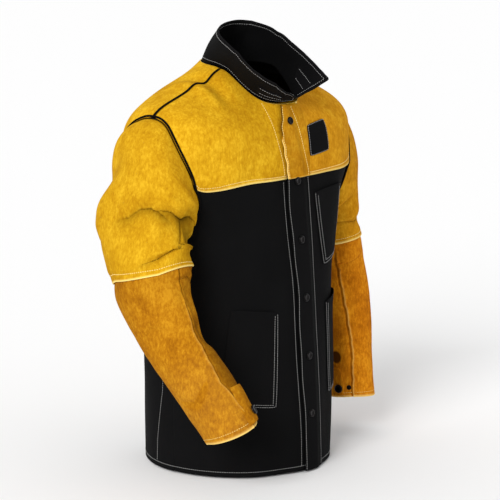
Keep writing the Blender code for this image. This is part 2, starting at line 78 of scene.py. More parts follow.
ARM_SIDE_RADII = {
    -1: (0.060, 0.060, 0.058, 0.060, 0.054, 0.048, 0.043),
    1: (0.060, 0.056, 0.053, 0.053, 0.051, 0.047, 0.044),
}
ARM_DEPTH_RADII = {
    -1: (0.085, 0.098, 0.104, 0.085, 0.067, 0.060, 0.056),
    1: (0.085, 0.082, 0.076, 0.067, 0.060, 0.054, 0.049),
}
# How far each cuff's end is cut aslant, and the turn where the sleeve is longest.
CUFF_CUTS = {-1: (0.0175, radians(120)), 1: (0.0080, radians(125))}
SLEEVE_HEAD_END, ELBOW_ROUND = 0.75, 0.24
COLLAR_HEIGHT = 0.082
# The collar's height factor at degrees round the neck.
COLLAR_TAPER = ((-20, 12, 16.5, 17), (1.0, 0.56, 0.56, 1.0))
# How the collar leans sideways and backwards at degrees round the neck.
COLLAR_LEANS = (
    (-160, -0.15, -0.62),
    (-135, -0.27, -0.69),
    (-104, -0.42, -0.76),
    (-90, -0.52, -0.74),
    (-80, -0.57, -0.70),
    (-70, -0.58, -0.65),
    (-50, -0.59, -0.59),
    (-35, -0.63, -0.58),
    (-20, -0.68, -0.58),
    (-12, -0.72, -0.56),
    (-4, -0.73, -0.60),
    (4, -0.74, -0.60),
    (12, -0.72, -0.67),
    (16, -0.70, -0.69),
    (21, 0.11, -0.86),
    (28, 0.00, -0.82),
    (35, -0.09, -0.735),
    (45, -0.155, -0.59),
    (55, -0.20, -0.49),
    (65, -0.28, -0.49),
    (76, -0.376, -0.52),
    (90, -0.44, -0.52),
    (135, -0.18, -0.52),
    (180, -0.07, -0.58),
    (200, -0.15, -0.62),
    (225, -0.27, -0.69),
    (256, -0.42, -0.76),
)
# Each pocket's and the patch's corners: the low inner and outer ones, then the high ones, as (x, z).
HIP_POCKET = (((0.084, -0.614), (0.158, -0.606)), ((0.074, -0.437), (0.150, -0.425)))
RIGHT_HIP_POCKET = (((0.076, -0.614), (0.154, -0.606)), ((0.066, -0.437), (0.146, -0.425)))
CHEST_POCKET = (((0.072, -0.368), (0.160, -0.350)), ((0.047, -0.228), (0.150, -0.220)))
CHEST_PATCH = (((0.039, -0.160), (0.100, -0.154)), ((0.039, -0.104), (0.100, -0.098)))
CUFF_TAB_TURNS = {-1: (radians(98), radians(60)), 1: (radians(-22), radians(20))}
CUFF_SNAP_TURNS = {-1: (radians(70), radians(50)), 1: (radians(10), radians(31))}
CUFF_SNAP_S = 1.94


def mix(a, b, t):
    return a + (b - a) * t


def clamp01(t):
    return np.clip(t, 0.0, 1.0)


def smooth(low, high, t):
    """0 below low, 1 above high and a smooth step between."""
    t = clamp01((t - low) / (high - low))
    return t * t * (3 - 2 * t)


def bell(distance, width):
    """1 at no distance, falling off smoothly over a width."""
    return np.exp(-((np.asarray(distance) / width) ** 2))


def signed_power(value, exponent):
    return np.sign(value) * np.abs(value) ** exponent


def unit(vectors):
    vectors = np.asarray(vectors, float)
    return vectors / np.maximum(np.linalg.norm(vectors, axis=-1, keepdims=True), 1e-12)


def stack(x, y, z):
    x, y, z = np.broadcast_arrays(x, y, z)
    return np.stack((x, y, z), -1)


def bezier(a, b, c, d, t):
    t = np.asarray(t)[..., None]
    return (1 - t) ** 3 * a + 3 * (1 - t) ** 2 * t * b + 3 * (1 - t) * t**2 * c + t**3 * d


def bisect(rising, target, low, high, steps):
    """Where a rising function reaches target between low and high, by halving."""
    for _ in range(steps):
        middle = (low + high) / 2
        under = rising(middle) < target
        low, high = np.where(under, middle, low), np.where(under, high, middle)
    return middle


def distances(points):
    """Distance along a polyline at each of its points."""
    return np.append(0, np.linalg.norm(np.diff(points, axis=0), axis=1).cumsum())


def body_ring(angle, t):
    t = clamp01(t)
    power = 2 / mix(2.0, 2.5, t)
    half_width = mix(HEM_HALF_WIDTH, YOKE_HALF_WIDTH, t**5)
    front, back = mix(HEM_FRONT, YOKE_FRONT, t**1.3), mix(HEM_BACK, YOKE_BACK, t**2)
    depth = np.where(np.cos(angle) > 0, front, back)
    x = half_width * signed_power(np.sin(angle), power)
    y = -depth * signed_power(np.cos(angle), power)
    return stack(x, y, mix(HEM_Z, YOKE_Z, t))


def neck_ring(angle):
    power = 2 / 2.4
    forward = np.cos(angle)
    depth = np.where(forward > 0, NECK_FRONT, NECK_BACK)
    eased = (forward + np.sqrt(forward**2 + 0.02)) / 2
    dip = 1 - np.maximum(0.0, 1 - eased) ** 1.6
    rise = np.maximum(0.0, -forward) ** 1.4
    z = NECK_SIDE_Z + (NECK_FRONT_Z - NECK_SIDE_Z) * dip + (NECK_BACK_Z - NECK_SIDE_Z) * rise
    x = NECK_HALF_WIDTH * signed_power(np.sin(angle), power)
    return stack(x, NECK_CENTRE_Y - depth * signed_power(forward, power), z)


def body(angle, height):
    """The body form: height 0 at the hem, 1 at the yoke seam and 2 at the neck seam."""
    angle, height = np.broadcast_arrays(np.asarray(angle, float), np.asarray(height, float))
    side, ahead = np.sin(angle) ** 2, np.cos(angle) > 0
    rise = mix(np.where(ahead, 0.050, 0.085), 0.160, side)
    reach = mix(np.where(ahead, 0.045, 0.100), 0.190, side)
    slope = np.radians(mix(np.where(ahead, 74, 50), 24, side))
    low, top = body_ring(angle, np.ones_like(angle)), neck_ring(angle)
    out = stack(np.sin(angle) * np.cos(slope), -np.cos(angle) * np.cos(slope), -np.sin(slope))
    up = stack(0.0, 0.0, rise)
    high = bezier(low, low + up, top + reach[..., None] * out, top, clamp01(height - 1))
    return np.where((height <= 1)[..., None], body_ring(angle, height), high)


def surface_normal(form, a, b, step=1e-3):
    across = form(a + step, b) - form(a - step, b)
    up = form(a, b + step) - form(a, b - step)
    return unit(np.cross(across, up))


def body_normal(angle, height):
    return surface_normal(body, angle, np.clip(height, 0.002, 1.998))


def angle_at_x(x, height):
    """The angle near the centre front where the body form has this x."""
    x, height = np.broadcast_arrays(np.asarray(x, float), np.asarray(height, float))
    widest = np.full(x.shape, radians(80))
    return bisect(lambda angle: body(angle, height)[..., 0], x, -widest, widest, 34)


def shoulder_angle(height):
    return pi / 2 + SHOULDER_SEAM_TURN * clamp01((height - ARM_TOP) / (2 - ARM_TOP))


def armhole_angles(turn):
    up = np.cos(turn)
    front = np.abs(np.sin(turn)) * (0.94 + 0.78 * up + 0.38 * up**2)
    back = np.abs(np.sin(turn)) * (1 + ARM_SKEW * up)
    return ARM_ANGLE - ARM_FRONT_SPAN * front, ARM_ANGLE + ARM_BACK_SPAN * back


def side_edge(height, ahead):
    """The angle where a front or back panel ends: side seam, armhole or shoulder seam."""
    share = clamp01((height - ARM_LOW) / (ARM_TOP - ARM_LOW))
    front, back = armhole_angles(np.arccos(1 - 2 * share))
    edge = np.where(ahead, front, back)
    return np.where(height >= ARM_TOP, shoulder_angle(height), edge)


def armhole(turn, side):
    """Round the armhole: turn 0 at the armpit, pi/2 in front, pi at the shoulder."""
    height = mix(ARM_LOW, ARM_TOP, (1 - np.cos(turn)) / 2)
    front, back = armhole_angles(turn)
    return body(side * np.where(np.sin(turn) >= 0, front, back), height)


def collar(angle, share):
    """The collar's outer face: share 0 at the neck seam and 1 at its top edge."""
    angle, share = np.broadcast_arrays(np.asarray(angle, float), np.asarray(share, float))
    stations, across, ahead = zip(*COLLAR_LEANS)
    lean_x = np.interp(np.degrees(angle), stations, across)
    lean_y = np.interp(np.degrees(angle), stations, ahead)
    lean = stack(lean_x, lean_y, np.sqrt(1 - lean_x**2 - lean_y**2))
    bow = (0.10 * share * (1 - share))[..., None]
    out = stack(np.sin(angle), -np.cos(angle), 0.0)
    foot = neck_ring(angle) + np.array((0, 0, 0.004))
    height = COLLAR_HEIGHT * np.interp(np.degrees(angle), *COLLAR_TAPER)[..., None]
    return foot + height * (share[..., None] * lean + bow * out)


def collar_normal(angle, share):
    return surface_normal(collar, angle, share)


def arm_middle(side, s):
    top, elbow, wrist = np.array(ARMS[side])
    before, after = elbow - top, wrist - elbow
    past = np.asarray(s, float)[..., None] - 1
    bent = (past + ELBOW_ROUND) ** 2 * after - (past - ELBOW_ROUND) ** 2 * before
    middle = elbow + bent / (4 * ELBOW_ROUND)
    middle = np.where(past <= -ELBOW_ROUND, elbow + past * before, middle)
    return np.where(past >= ELBOW_ROUND, elbow + past * after, middle)


def arm_frame(side, s):
    """Middle, direction down the sleeve, direction towards the body and direction forwards."""
    step = 0.02
    down = unit(arm_middle(side, s + step) - arm_middle(side, s - step))
    front = np.array((0.0, -1.0, 0.0))
    ahead = unit(front - down * (down @ front)[..., None])
    inward = np.cross(down, ahead)
    inward = np.where((inward[..., 0] * side < 0)[..., None], inward, -inward)
    return arm_middle(side, s), down, unit(inward), ahead


def cuff_cut(side, s, turn):
    """How much further the sleeve reaches here, because its end is cut aslant."""
    amount, longest = CUFF_CUTS[side]
    towards = np.cos(turn - longest)
    ends = 0.65 * towards + 0.35 * np.sqrt(towards**2 + 0.01)
    return amount * ends * clamp01((s - 1.7) / 0.3) ** 2


def arm_ring(side, s, turn):
    s, turn = np.broadcast_arrays(np.asarray(s, float), np.asarray(turn, float))
    middle, down, inward, ahead = arm_frame(side, s)
    side_radius = np.interp(s, ARM_STATIONS, ARM_SIDE_RADII[side]) * np.cos(turn)
    depth_radius = np.interp(s, ARM_STATIONS, ARM_DEPTH_RADII[side]) * np.sin(turn)
    ring = middle + side_radius[..., None] * inward + depth_radius[..., None] * ahead
    return ring + cuff_cut(side, s, turn)[..., None] * down


def sleeve(side, s, turn):
    """The sleeve form: s 0 at the armhole, 1 at the elbow seam, 2 at the cuff."""
    s, turn = np.broadcast_arrays(np.asarray(s, float), np.asarray(turn, float))
    head_end = np.full(s.shape, SLEEVE_HEAD_END)
    end = arm_ring(side, head_end, turn)
    down = arm_frame(side, head_end)[1]
    start = armhole(turn, side) + np.array((side * 0.0022, 0, -0.0004))
    above = (1 - np.cos(turn)) / 2
    leave = stack(side * mix(0.35, 0.85, above), -0.30 * np.sin(turn), -mix(0.90, 0.40, above))
    first, last = mix(0.008, 0.062, above)[..., None], mix(0.008, 0.110, above)[..., None]
    head = bezier(start, start + first * unit(leave), end - last * down, end, clamp01(s / SLEEVE_HEAD_END))
    return np.where((s >= SLEEVE_HEAD_END)[..., None], arm_ring(side, s, turn), head)

# ---- Meshes --------------------------------------------------------------------------------

CLOTH, LEATHER = 0.0016, 0.0024
# The grid of each slab, for the flat sizes of the sheets.
SLABS = {}
SIDES = ((-1, "right"), (1, "left"))


class Grid:
    """A grid of points on the outer face of a piece. Its columns close into a ring if wrap is set."""

    def __init__(self, points, outward, wrap=False):
        self.points, self.wrap = points, wrap
        ring = np.concatenate((points[:, -1:], points, points[:, :1]), 1) if wrap else points
        across = np.gradient(ring, axis=1)
        across = across[:, 1:-1] if wrap else across
        normals = unit(np.cross(across, np.gradient(points, axis=0)))
        self.normals = normals if (normals * outward).sum() > 0 else -normals

    def sizes(self):
        """Distance along the rows and along the columns, in metres, at each point."""
        along = np.linalg.norm(np.diff(self.points, axis=1), axis=-1)
        up = np.linalg.norm(np.diff(self.points, axis=0), axis=-1)
        return np.pad(along.cumsum(1), ((0, 0), (1, 0))), np.pad(up.cumsum(0), ((1, 0), (0, 0)))

    def at(self, u, v):
        """Points and normals at shares u across and v up, from 0 to 1."""
        rows, columns = self.points.shape[:2]
        c = np.asarray(u, float) * (columns if self.wrap else columns - 1)
        r = clamp01(v) * (rows - 1)
        c = c % columns if self.wrap else np.clip(c, 0, columns - 1)
        r0 = np.minimum(r.astype(int), rows - 2)
        c0 = np.minimum(c.astype(int), columns - 1 if self.wrap else columns - 2)
        c1, fr, fc = (c0 + 1) % columns, (r - r0)[..., None], (c - c0)[..., None]
        found = []
        for field in (self.points, self.normals):
            low = mix(field[r0, c0], field[r0, c1], fc)
            high = mix(field[r0 + 1, c0], field[r0 + 1, c1], fc)
            found.append(mix(low, high, fr))
        return found[0], unit(found[1])


def mesh_object(name, points, faces, surface, values=()):
    """A mesh from arrays. faces is a list of arrays of quads or triangles; values are (name, data)."""
    mesh = bpy.data.meshes.new(name)
    points = np.asarray(points, np.float32)
    mesh.vertices.add(len(points))
    mesh.vertices.foreach_set("co", points.ravel())
    corners = np.concatenate([f.ravel() for f in faces]).astype(np.int32)
    counts = np.concatenate([np.full(len(f), f.shape[1]) for f in faces]).astype(np.int32)
    mesh.loops.add(len(corners))
    mesh.loops.foreach_set("vertex_index", corners)
    mesh.polygons.add(len(counts))
    mesh.polygons.foreach_set("loop_start", np.concatenate(([0], counts.cumsum()[:-1])).astype(np.int32))
    mesh.update(calc_edges=True)
    mesh.validate()
    for label, data in values:
        data = np.asarray(data, np.float32)
        kind = "FLOAT" if data.ndim == 1 else "FLOAT_VECTOR"
        layer = mesh.attributes.new(label, kind, "POINT")
        layer.data.foreach_set("value" if data.ndim == 1 else "vector", data.ravel())
    mesh.materials.append(surface)
    mesh.shade_smooth()
    made = bpy.data.objects.new(name, mesh)
    bpy.context.scene.collection.objects.link(made)
    return made


def settle(made, slot, body_name, *nodes):
    """Gives a piece the body it rides on, and hides the CAD nodes that it stands for; its slot is not used.
    """
    if nodes:
        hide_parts(*nodes)
    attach(made, body_name)


def quads(a, b):
    """Quads between two rows of indices of the same length."""
    return np.stack((a[:-1], a[1:], b[1:], b[:-1]), -1)


BACK_TONE = -0.15


def slab(name, grid, thickness, surface, tone=0.0, rim_tone=0.35):
    """The grid made solid inwards, with half-round edges. tone lightens (+) or darkens (-) the colour,
    and rim_tone is added to it on the edges."""
    rows, columns = grid.points.shape[:2]
    outer, inner = grid.points, grid.points - thickness * grid.normals
    index = np.arange(rows * columns).reshape(rows, columns)
    ring = np.concatenate((index, index[:, :1]), 1) if grid.wrap else index
    faces = [quads(ring[r], ring[r + 1]) for r in range(rows - 1)]
    back = [f[:, ::-1] + rows * columns for f in faces]
    along, up = grid.sizes()
    tone = np.broadcast_to(tone, (rows, columns)).ravel()
    points = [outer.reshape(-1, 3), inner.reshape(-1, 3)]
    cloth = stack(along, up, 0.0).reshape(-1, 3)
    cloths, tones = [cloth, cloth], [tone, tone + BACK_TONE]
    if grid.wrap:
        low, high = outer[0] - outer[1], outer[-1] - outer[-2]
        loops = [(ring[0], low), (ring[-1][::-1], high[::-1])]
    else:
        low, high = outer[0] - outer[1], outer[-1] - outer[-2]
        first, last = outer[:, 0] - outer[:, 1], outer[:, -1] - outer[:, -2]
        edge = np.concatenate((index[0, :-1], index[:-1, -1], index[-1, :0:-1], index[:0:-1, 0]))
        away = unit(np.concatenate((low[:-1], last[:-1], high[:0:-1], first[:0:-1])))
        corner = np.cumsum((0, columns - 1, rows - 1, columns - 1))
        away[corner] = unit(away[corner] + away[corner - 1])
        loops = [(np.append(edge, edge[0]), away)]
    start = 2 * rows * columns
    for loop, away in loops:
        count = len(loop) - 1
        away = unit(away)[:count]
        a, b = points[0][loop[:-1]], points[1][loop[:-1]]
        before = np.append(loop, loop[0])[: count + 1]
        for share in (0.25, 0.75):
            bulge = 0.5 * thickness * sin(pi * (0.5 + (share - 0.5) * 0.7)) * away
            points.append(mix(a, b, share) + bulge)
            cloths.append(cloth[loop[:-1]])
            tones.append(tone[loop[:-1]] + rim_tone)
            rim = start + np.append(np.arange(count), 0)
            faces.append(quads(rim, before))
            before, start = rim, start + count
        faces.append(quads(np.append(loop[:-1], loop[0]) + rows * columns, before))
    faces += back
    SLABS[name] = grid
    values = (("cloth", np.concatenate(cloths)), ("tone", np.concatenate(tones)))
    made = mesh_object(name, np.concatenate(points), faces, surface, values)
    flip_if_inside_out(made)
    return made


def flip_if_inside_out(made):
    """Turns the faces of a closed mesh of quads outwards."""
    mesh = made.data
    points = np.empty(len(mesh.vertices) * 3, np.float32)
    mesh.vertices.foreach_get("co", points)
    points = points.reshape(-1, 3).astype(float)
    corners = np.empty(len(mesh.loops), np.int32)
    mesh.loops.foreach_get("vertex_index", corners)
    a, b, c, d = np.moveaxis(points[corners.reshape(-1, 4)] - points.mean(0), 1, 0)
    volume = (a * (np.cross(b, c) + np.cross(c, d))).sum()
    if volume < 0:
        mesh.flip_normals()


def resample(points, spacing):
    """Points at even steps along a polyline."""
    length = distances(points)
    count = max(int(length[-1] / spacing), 2)
    places = np.linspace(0, length[-1], count)
    return np.stack([np.interp(places, length, points[:, k]) for k in range(3)], -1)


STITCH, STITCH_GAP, THREAD = 0.0032, 0.0012, 0.00045
# A stitch's stations: share of its length from its middle, share of its width and rise.
STITCH_STATIONS = ((-0.5, 0.35, -0.30), (-0.36, 1.0, 0.30), (0.36, 1.0, 0.30), (0.5, 0.35, -0.30))
STITCH_SIDES, AHEAD_STEP = 6, 5e-4


def stitches(name, lines, surface, thread):
    """Rows of thread on a surface. Each line is (points, normals), and every stitch a little capsule."""
    pitch, last = STITCH + STITCH_GAP, len(STITCH_STATIONS) - 1
    turns = np.linspace(0, 2 * pi, STITCH_SIDES, endpoint=False)
    points, faces, start = [], [], 0
    for line, normals in lines:
        both = np.concatenate((line, normals), 1)
        length = distances(line)
        count = int(length[-1] / pitch)
        middles = (np.arange(count) + 0.5) * length[-1] / count
        spot, beyond = (
            np.stack([np.interp(middles + step, length, column) for column in both.T], -1)
            for step in (0.0, AHEAD_STEP)
        )
        spot, up = spot[:, :3], unit(spot[:, 3:])
        ahead = unit(beyond[:, :3] - spot + 1e-9)
        aside = unit(np.cross(ahead, up))
        up = np.cross(aside, ahead)
        for share, width, rise in STITCH_STATIONS:
            for turn in turns:
                round_part = thread * width * (cos(turn) * aside + 0.8 * sin(turn) * up)
                points.append(spot + share * STITCH * ahead + round_part + thread * rise * up)
        # The points run through the stations, then the turns, then the stitches.
        row = start + np.arange(len(STITCH_STATIONS) * STITCH_SIDES * count).reshape(-1, STITCH_SIDES, count)
        for i in range(last):
            for j in range(STITCH_SIDES):
                k = (j + 1) % STITCH_SIDES
                faces.append(np.stack((row[i, j], row[i, k], row[i + 1, k], row[i + 1, j]), -1))
        for i, order in ((0, (0, 5, 4, 3)), (0, (3, 2, 1, 0)), (last, (0, 1, 2, 3)), (last, (3, 4, 5, 0))):
            faces.append(np.stack([row[i, j] for j in order], -1))
        start += row.size
    made = mesh_object(name, np.concatenate(points), faces, surface)
    made.data.flip_normals()
    return made


CORD_STEP = 0.004


def cord(name, line, radius, surface, sides=12):
    """A closed round cord along a polyline."""
    line = resample(line, CORD_STEP)
    ahead = unit(np.gradient(line, axis=0))
    aside = unit(np.cross(ahead, np.array((0.31, 0.17, 0.93))))
    up = np.cross(ahead, aside)
    turns = np.linspace(0, 2 * pi, sides, endpoint=False)
    rings = [line + radius * (cos(t) * aside + sin(t) * up) for t in turns]
    points = np.stack(rings, 1)
    points = np.concatenate((points[:1] * 0.5 + line[0] * 0.5, points, points[-1:] * 0.5 + line[-1] * 0.5))
    rows = len(points)
    index = np.arange(rows * sides).reshape(rows, sides)
    ring = np.concatenate((index, index[:, :1]), 1)
    faces = [quads(ring[r + 1], ring[r]) for r in range(rows - 1)]
    caps = [(index[0, 0], index[0, j], index[0, j + 1]) for j in range(1, sides - 1)]
    caps += [(index[-1, j + 1], index[-1, j], index[-1, 0]) for j in range(1, sides - 1)]
    along = np.pad(distances(line), 1, mode="edge")
    cloth = stack(along[:, None], np.linspace(0, 2 * pi * radius, sides)[None], 0.0).reshape(-1, 3)
    values = (("cloth", cloth), ("tone", np.zeros(rows * sides)))
    return mesh_object(name, points.reshape(-1, 3), faces + [np.array(caps)], surface, values)


EDGE_STEP = 0.0015


def spread(count, size):
    """Shares from 0 to 1, closer together at both ends, for a span of that size in metres."""
    inner = np.linspace(0, 1, count)
    extra = np.array((EDGE_STEP, 2.2 * EDGE_STEP)) / size
    return np.unique(np.concatenate((inner, extra, 1 - extra)))

# ---- Materials -----------------------------------------------------------------------------


def new_material(name, roughness, color=None, metallic=0.0, sheen=0.0, sheen_tint=None, specular=0.5):
    made = bpy.data.materials.new(name)
    made.use_nodes = True
    shader = made.node_tree.nodes["Principled BSDF"]
    shader.inputs["Roughness"].default_value = roughness
    shader.inputs["Metallic"].default_value = metallic
    shader.inputs["Specular IOR Level"].default_value = specular
    shader.inputs["Sheen Weight"].default_value = sheen
    shader.inputs["Sheen Roughness"].default_value = 0.45
    if sheen_tint:
        shader.inputs["Sheen Tint"].default_value = (*sheen_tint, 1)
    if color:
        shader.inputs["Base Color"].default_value = (*color, 1)
    return made, shader


def node(made, kind, inputs=(), **settings):
    """A node with its settings, and its inputs given as (socket, value or output socket)."""
    fresh = made.node_tree.nodes.new("ShaderNode" + kind)
    for key, value in settings.items():
        setattr(fresh, key, value)
    for socket, value in inputs:
        if isinstance(value, bpy.types.NodeSocket):
            made.node_tree.links.new(value, fresh.inputs[socket])
        else:
            fresh.inputs[socket].default_value = value
    return fresh


def noise(made, place, scale, detail=3.0, roughness=0.6, distortion=0.0):
    inputs = (("Vector", place), ("Scale", scale), ("Detail", detail))
    inputs += (("Roughness", roughness), ("Distortion", distortion))
    return node(made, "TexNoise", inputs).outputs["Fac"]


def calc(made, operation, a, b, clamp=False):
    return node(made, "Math", ((0, a), (1, b)), operation=operation, use_clamp=clamp).outputs[0]


def mix_color(made, factor, a, b):
    a = (*a, 1) if isinstance(a, tuple) else a
    b = (*b, 1) if isinstance(b, tuple) else b
    fresh = node(made, "Mix", ((0, factor), (6, a), (7, b)), data_type="RGBA")
    return fresh.outputs[2]


def ramp(made, factor, stops):
    fresh = node(made, "ValToRGB", (("Fac", factor),))
    elements = fresh.color_ramp.elements
    while len(elements) < len(stops):
        elements.new(0.5)
    for element, (place, color) in zip(elements, stops):
        element.position = place
        element.color = (*color, 1)
    return fresh.outputs["Color"]


def bump(made, shader, layers):
    """Bumps one over another, each as (height, strength, distance)."""
    normal = None
    for height, strength, distance in layers:
        inputs = [("Height", height), ("Strength", strength), ("Distance", distance)]
        if normal is not None:
            inputs.append(("Normal", normal))
        normal = node(made, "Bump", inputs).outputs["Normal"]
    made.node_tree.links.new(normal, shader.inputs["Normal"])


def paint(made, shader, color):
    made.node_tree.links.new(color, shader.inputs["Base Color"])


def object_place(made):
    return node(made, "TexCoord").outputs["Object"]


def attribute(made, name, output):
    return node(made, "Attribute", attribute_name=name).outputs[output]


def suede(name, dark, middle, light, rim):
    """Napped split cowhide: mottled nap, brushed patches and pale cut edges."""
    made, shader = new_material(name, 1.0, sheen=0.05, sheen_tint=light, specular=0.04)
    place = object_place(made)
    patches = noise(made, place, 13.0, 3.0, 0.6, 0.4)
    mottle = noise(made, place, 62.0, 6.0, 0.70, 0.6)
    streaks = node(made, "Mapping", (("Vector", place), ("Scale", (1.0, 1.0, 0.45))))
    nap = noise(made, streaks.outputs["Vector"], 240.0, 4.0, 0.72)
    grain = noise(made, place, 1300.0, 2.0, 0.6)
    blend = calc(made, "MULTIPLY", patches, 0.75)
    for layer, share in ((mottle, 0.78), (nap, 0.95)):
        blend = calc(made, "ADD", blend, calc(made, "MULTIPLY", layer, share))
    color = ramp(made, calc(made, "SUBTRACT", blend, 0.615), ((0.38, dark), (0.63, middle), (0.86, light)))
    tone = attribute(made, "tone", "Fac")
    color = mix_color(made, calc(made, "MULTIPLY", tone, 2.2, True), color, rim)
    # Negative tone mixes towards a deep brown. This gives darker seams and inner faces, painted shade in
    # creases, under the piping and at the cuff vent, and a painted shadow on the placket's edge.
    color = mix_color(made, calc(made, "MULTIPLY", tone, -1.0, True), color, tuple(0.20 * c for c in dark))
    paint(made, shader, color)
    bump(made, shader, ((mottle, 0.35, 0.0022), (nap, 0.55, 0.0012), (grain, 0.35, 0.0004)))
    return made


def cotton(name, base, lift):
    """Black sateen cotton with a fine steep twill."""
    made, shader = new_material(name, 0.9, specular=0.06)
    cloth = attribute(made, "cloth", "Vector")
    place = object_place(made)
    skewed = node(made, "Mapping", (("Vector", cloth), ("Rotation", (0, 0, radians(62)))))
    inputs = (("Vector", skewed.outputs["Vector"]), ("Scale", 480.0), ("Distortion", 1.2), ("Detail", 1.0))
    twill = node(made, "TexWave", inputs, bands_direction="X").outputs["Fac"]
    lint = noise(made, place, 900.0, 2.0, 0.7)
    soft = noise(made, place, 11.0, 3.0)
    shade = calc(made, "MULTIPLY_ADD", twill, 0.35)
    made.node_tree.links.new(calc(made, "MULTIPLY", soft, 0.9), shade.node.inputs[2])
    color = mix_color(made, shade, base, lift)
    tone = attribute(made, "tone", "Fac")
    color = mix_color(made, calc(made, "MULTIPLY", tone, 0.25, True), color, tuple(4 * c for c in lift))
    paint(made, shader, color)
    bump(made, shader, ((lint, 0.25, 0.0003), (twill, 0.35, 0.0003)))
    return made


def thread_material(name, color, dull):
    made, shader = new_material(name, 0.6, specular=0.3)
    place = object_place(made)
    fleck = noise(made, place, 420.0, 2.0)
    paint(made, shader, mix_color(made, fleck, dull, color))
    bump(made, shader, ((noise(made, place, 2600.0, 1.0), 0.3, 0.0002),))
    return made


def metal_material(name, color, worn):
    made, shader = new_material(name, 0.30, metallic=0.96)
    place = object_place(made)
    scuff = noise(made, place, 500.0, 4.0, 0.7)
    paint(made, shader, mix_color(made, scuff, color, worn))
    bump(made, shader, ((noise(made, place, 1400.0, 3.0), 0.15, 0.0002),))
    return made


def tape_material(name, color, loop):
    """Hook and loop tape: a fuzz of tiny loops."""
    made, shader = new_material(name, 0.95, specular=0.08)
    place = object_place(made)
    inputs = (("Vector", place), ("Scale", 800.0))
    loops = node(made, "TexVoronoi", inputs).outputs["Distance"]
    paint(made, shader, mix_color(made, loops, color, loop))
    bump(made, shader, ((loops, 0.6, 0.0006),))
    return made


# The colours of a suede: its dark, middle and light nap, and its cut edge.
# The lit and shaded copies of each colour are painted light: one is for the side of the jacket towards the
# light and one for the side away from it.
SUEDES = {
    "lit_gold": ((0.46, 0.215, 0.004), (0.59, 0.31, 0.008), (0.74, 0.43, 0.018), (0.95, 0.74, 0.24)),
    "shaded_gold": ((0.46, 0.185, 0.004), (0.60, 0.265, 0.009), (0.72, 0.37, 0.018), (0.92, 0.68, 0.20)),
    "lit_brown": ((0.285, 0.097, 0.003), (0.41, 0.160, 0.005), (0.55, 0.25, 0.011), (0.90, 0.62, 0.18)),
    "shaded_brown": ((0.385, 0.110, 0.003), (0.555, 0.180, 0.005), (0.72, 0.28, 0.011), (0.95, 0.64, 0.18)),
}
LIT_GOLD, SHADED_GOLD, LIT_BROWN, SHADED_BROWN = (suede(name + "_suede", *colors) for name, colors in SUEDES.items())
BROWNS = {-1: LIT_BROWN, 1: SHADED_BROWN}
COTTON = cotton("black_sateen_cotton", (0.0022, 0.0022, 0.0023), (0.0046, 0.0046, 0.0049))
PIPING = cotton("black_piping_cord", (0.0018, 0.0014, 0.0014), (0.0036, 0.0030, 0.0028))
THREAD_GREY = thread_material("grey_thread", (0.40, 0.40, 0.39), (0.26, 0.26, 0.255))
THREAD_CREAM = thread_material("cream_thread", (0.95, 0.76, 0.28), (0.80, 0.58, 0.16))
GUNMETAL = metal_material("gunmetal_snap", (0.006, 0.0055, 0.0055), (0.022, 0.020, 0.020))
TAPE = tape_material("black_grip_tape", (0.0024, 0.0024, 0.0026), (0.0060, 0.0060, 0.0065))

# ---- Folds ---------------------------------------------------------------------------------


def swell(u, v, middle, size, amount, lean=0.0):
    """A round rise (or hollow) of the given half sizes, its long axis leaned by lean."""
    du, dv = u - middle[0], v - middle[1]
    a = (du * cos(lean) + dv * sin(lean)) / size[0]
    b = (-du * sin(lean) + dv * cos(lean)) / size[1]
    return amount * np.exp(-(a**2 + b**2))


def crease(u, v, path, depth, above, below, ridge=0.0):
    """A fold's valley along a path of points: its rise, how far the cloth above hangs down over it,
    and its shade. Its sides are above and below wide, v grows downwards, and both ends fade."""
    path = np.asarray(path, float)
    best, place, under = np.full(np.shape(u), 1e9), np.zeros(np.shape(u)), np.zeros(np.shape(u))
    lengths = np.linalg.norm(np.diff(path, axis=0), axis=1)
    starts = np.append(0, lengths.cumsum())
    for k, (a, b) in enumerate(zip(path[:-1], path[1:])):
        d = (b - a) / lengths[k]
        t = np.clip((u - a[0]) * d[0] + (v - a[1]) * d[1], 0, lengths[k])
        off_u, off_v = u - a[0] - t * d[0], v - a[1] - t * d[1]
        distance = np.hypot(off_u, off_v)
        near = distance < best
        best = np.where(near, distance, best)
        place = np.where(near, (starts[k] + t) / starts[-1], place)
        under = np.where(near, np.sign(d[0] * off_v - d[1] * off_u) * np.sign(d[0]) > 0, under)
    before_start = smooth(0.012, 0.03, best) * (place < 0.01)
    fade = np.sin(pi * clamp01(place * 0.96 + 0.02)) ** 0.6 * (1 - before_start)
    valley = -depth * np.exp(-((best / np.where(under, below, above)) ** 1.4))
    hump = ridge * np.exp(-(((best - 1.6 * above) / above) ** 2)) * (1 - under)
    hang = 0.6 * depth * np.exp(-((best / (2.2 * above)) ** 2)) * (1 - under)
    width = np.where(under, 0.5 * below, 0.0016)
    shade = -min(depth / 0.012, 1.0) * np.exp(-((best / width) ** 1.5))
    return fade * (valley + hump), fade * hang, fade * shade

# ---- The body --------------------------------------------------------------------------------


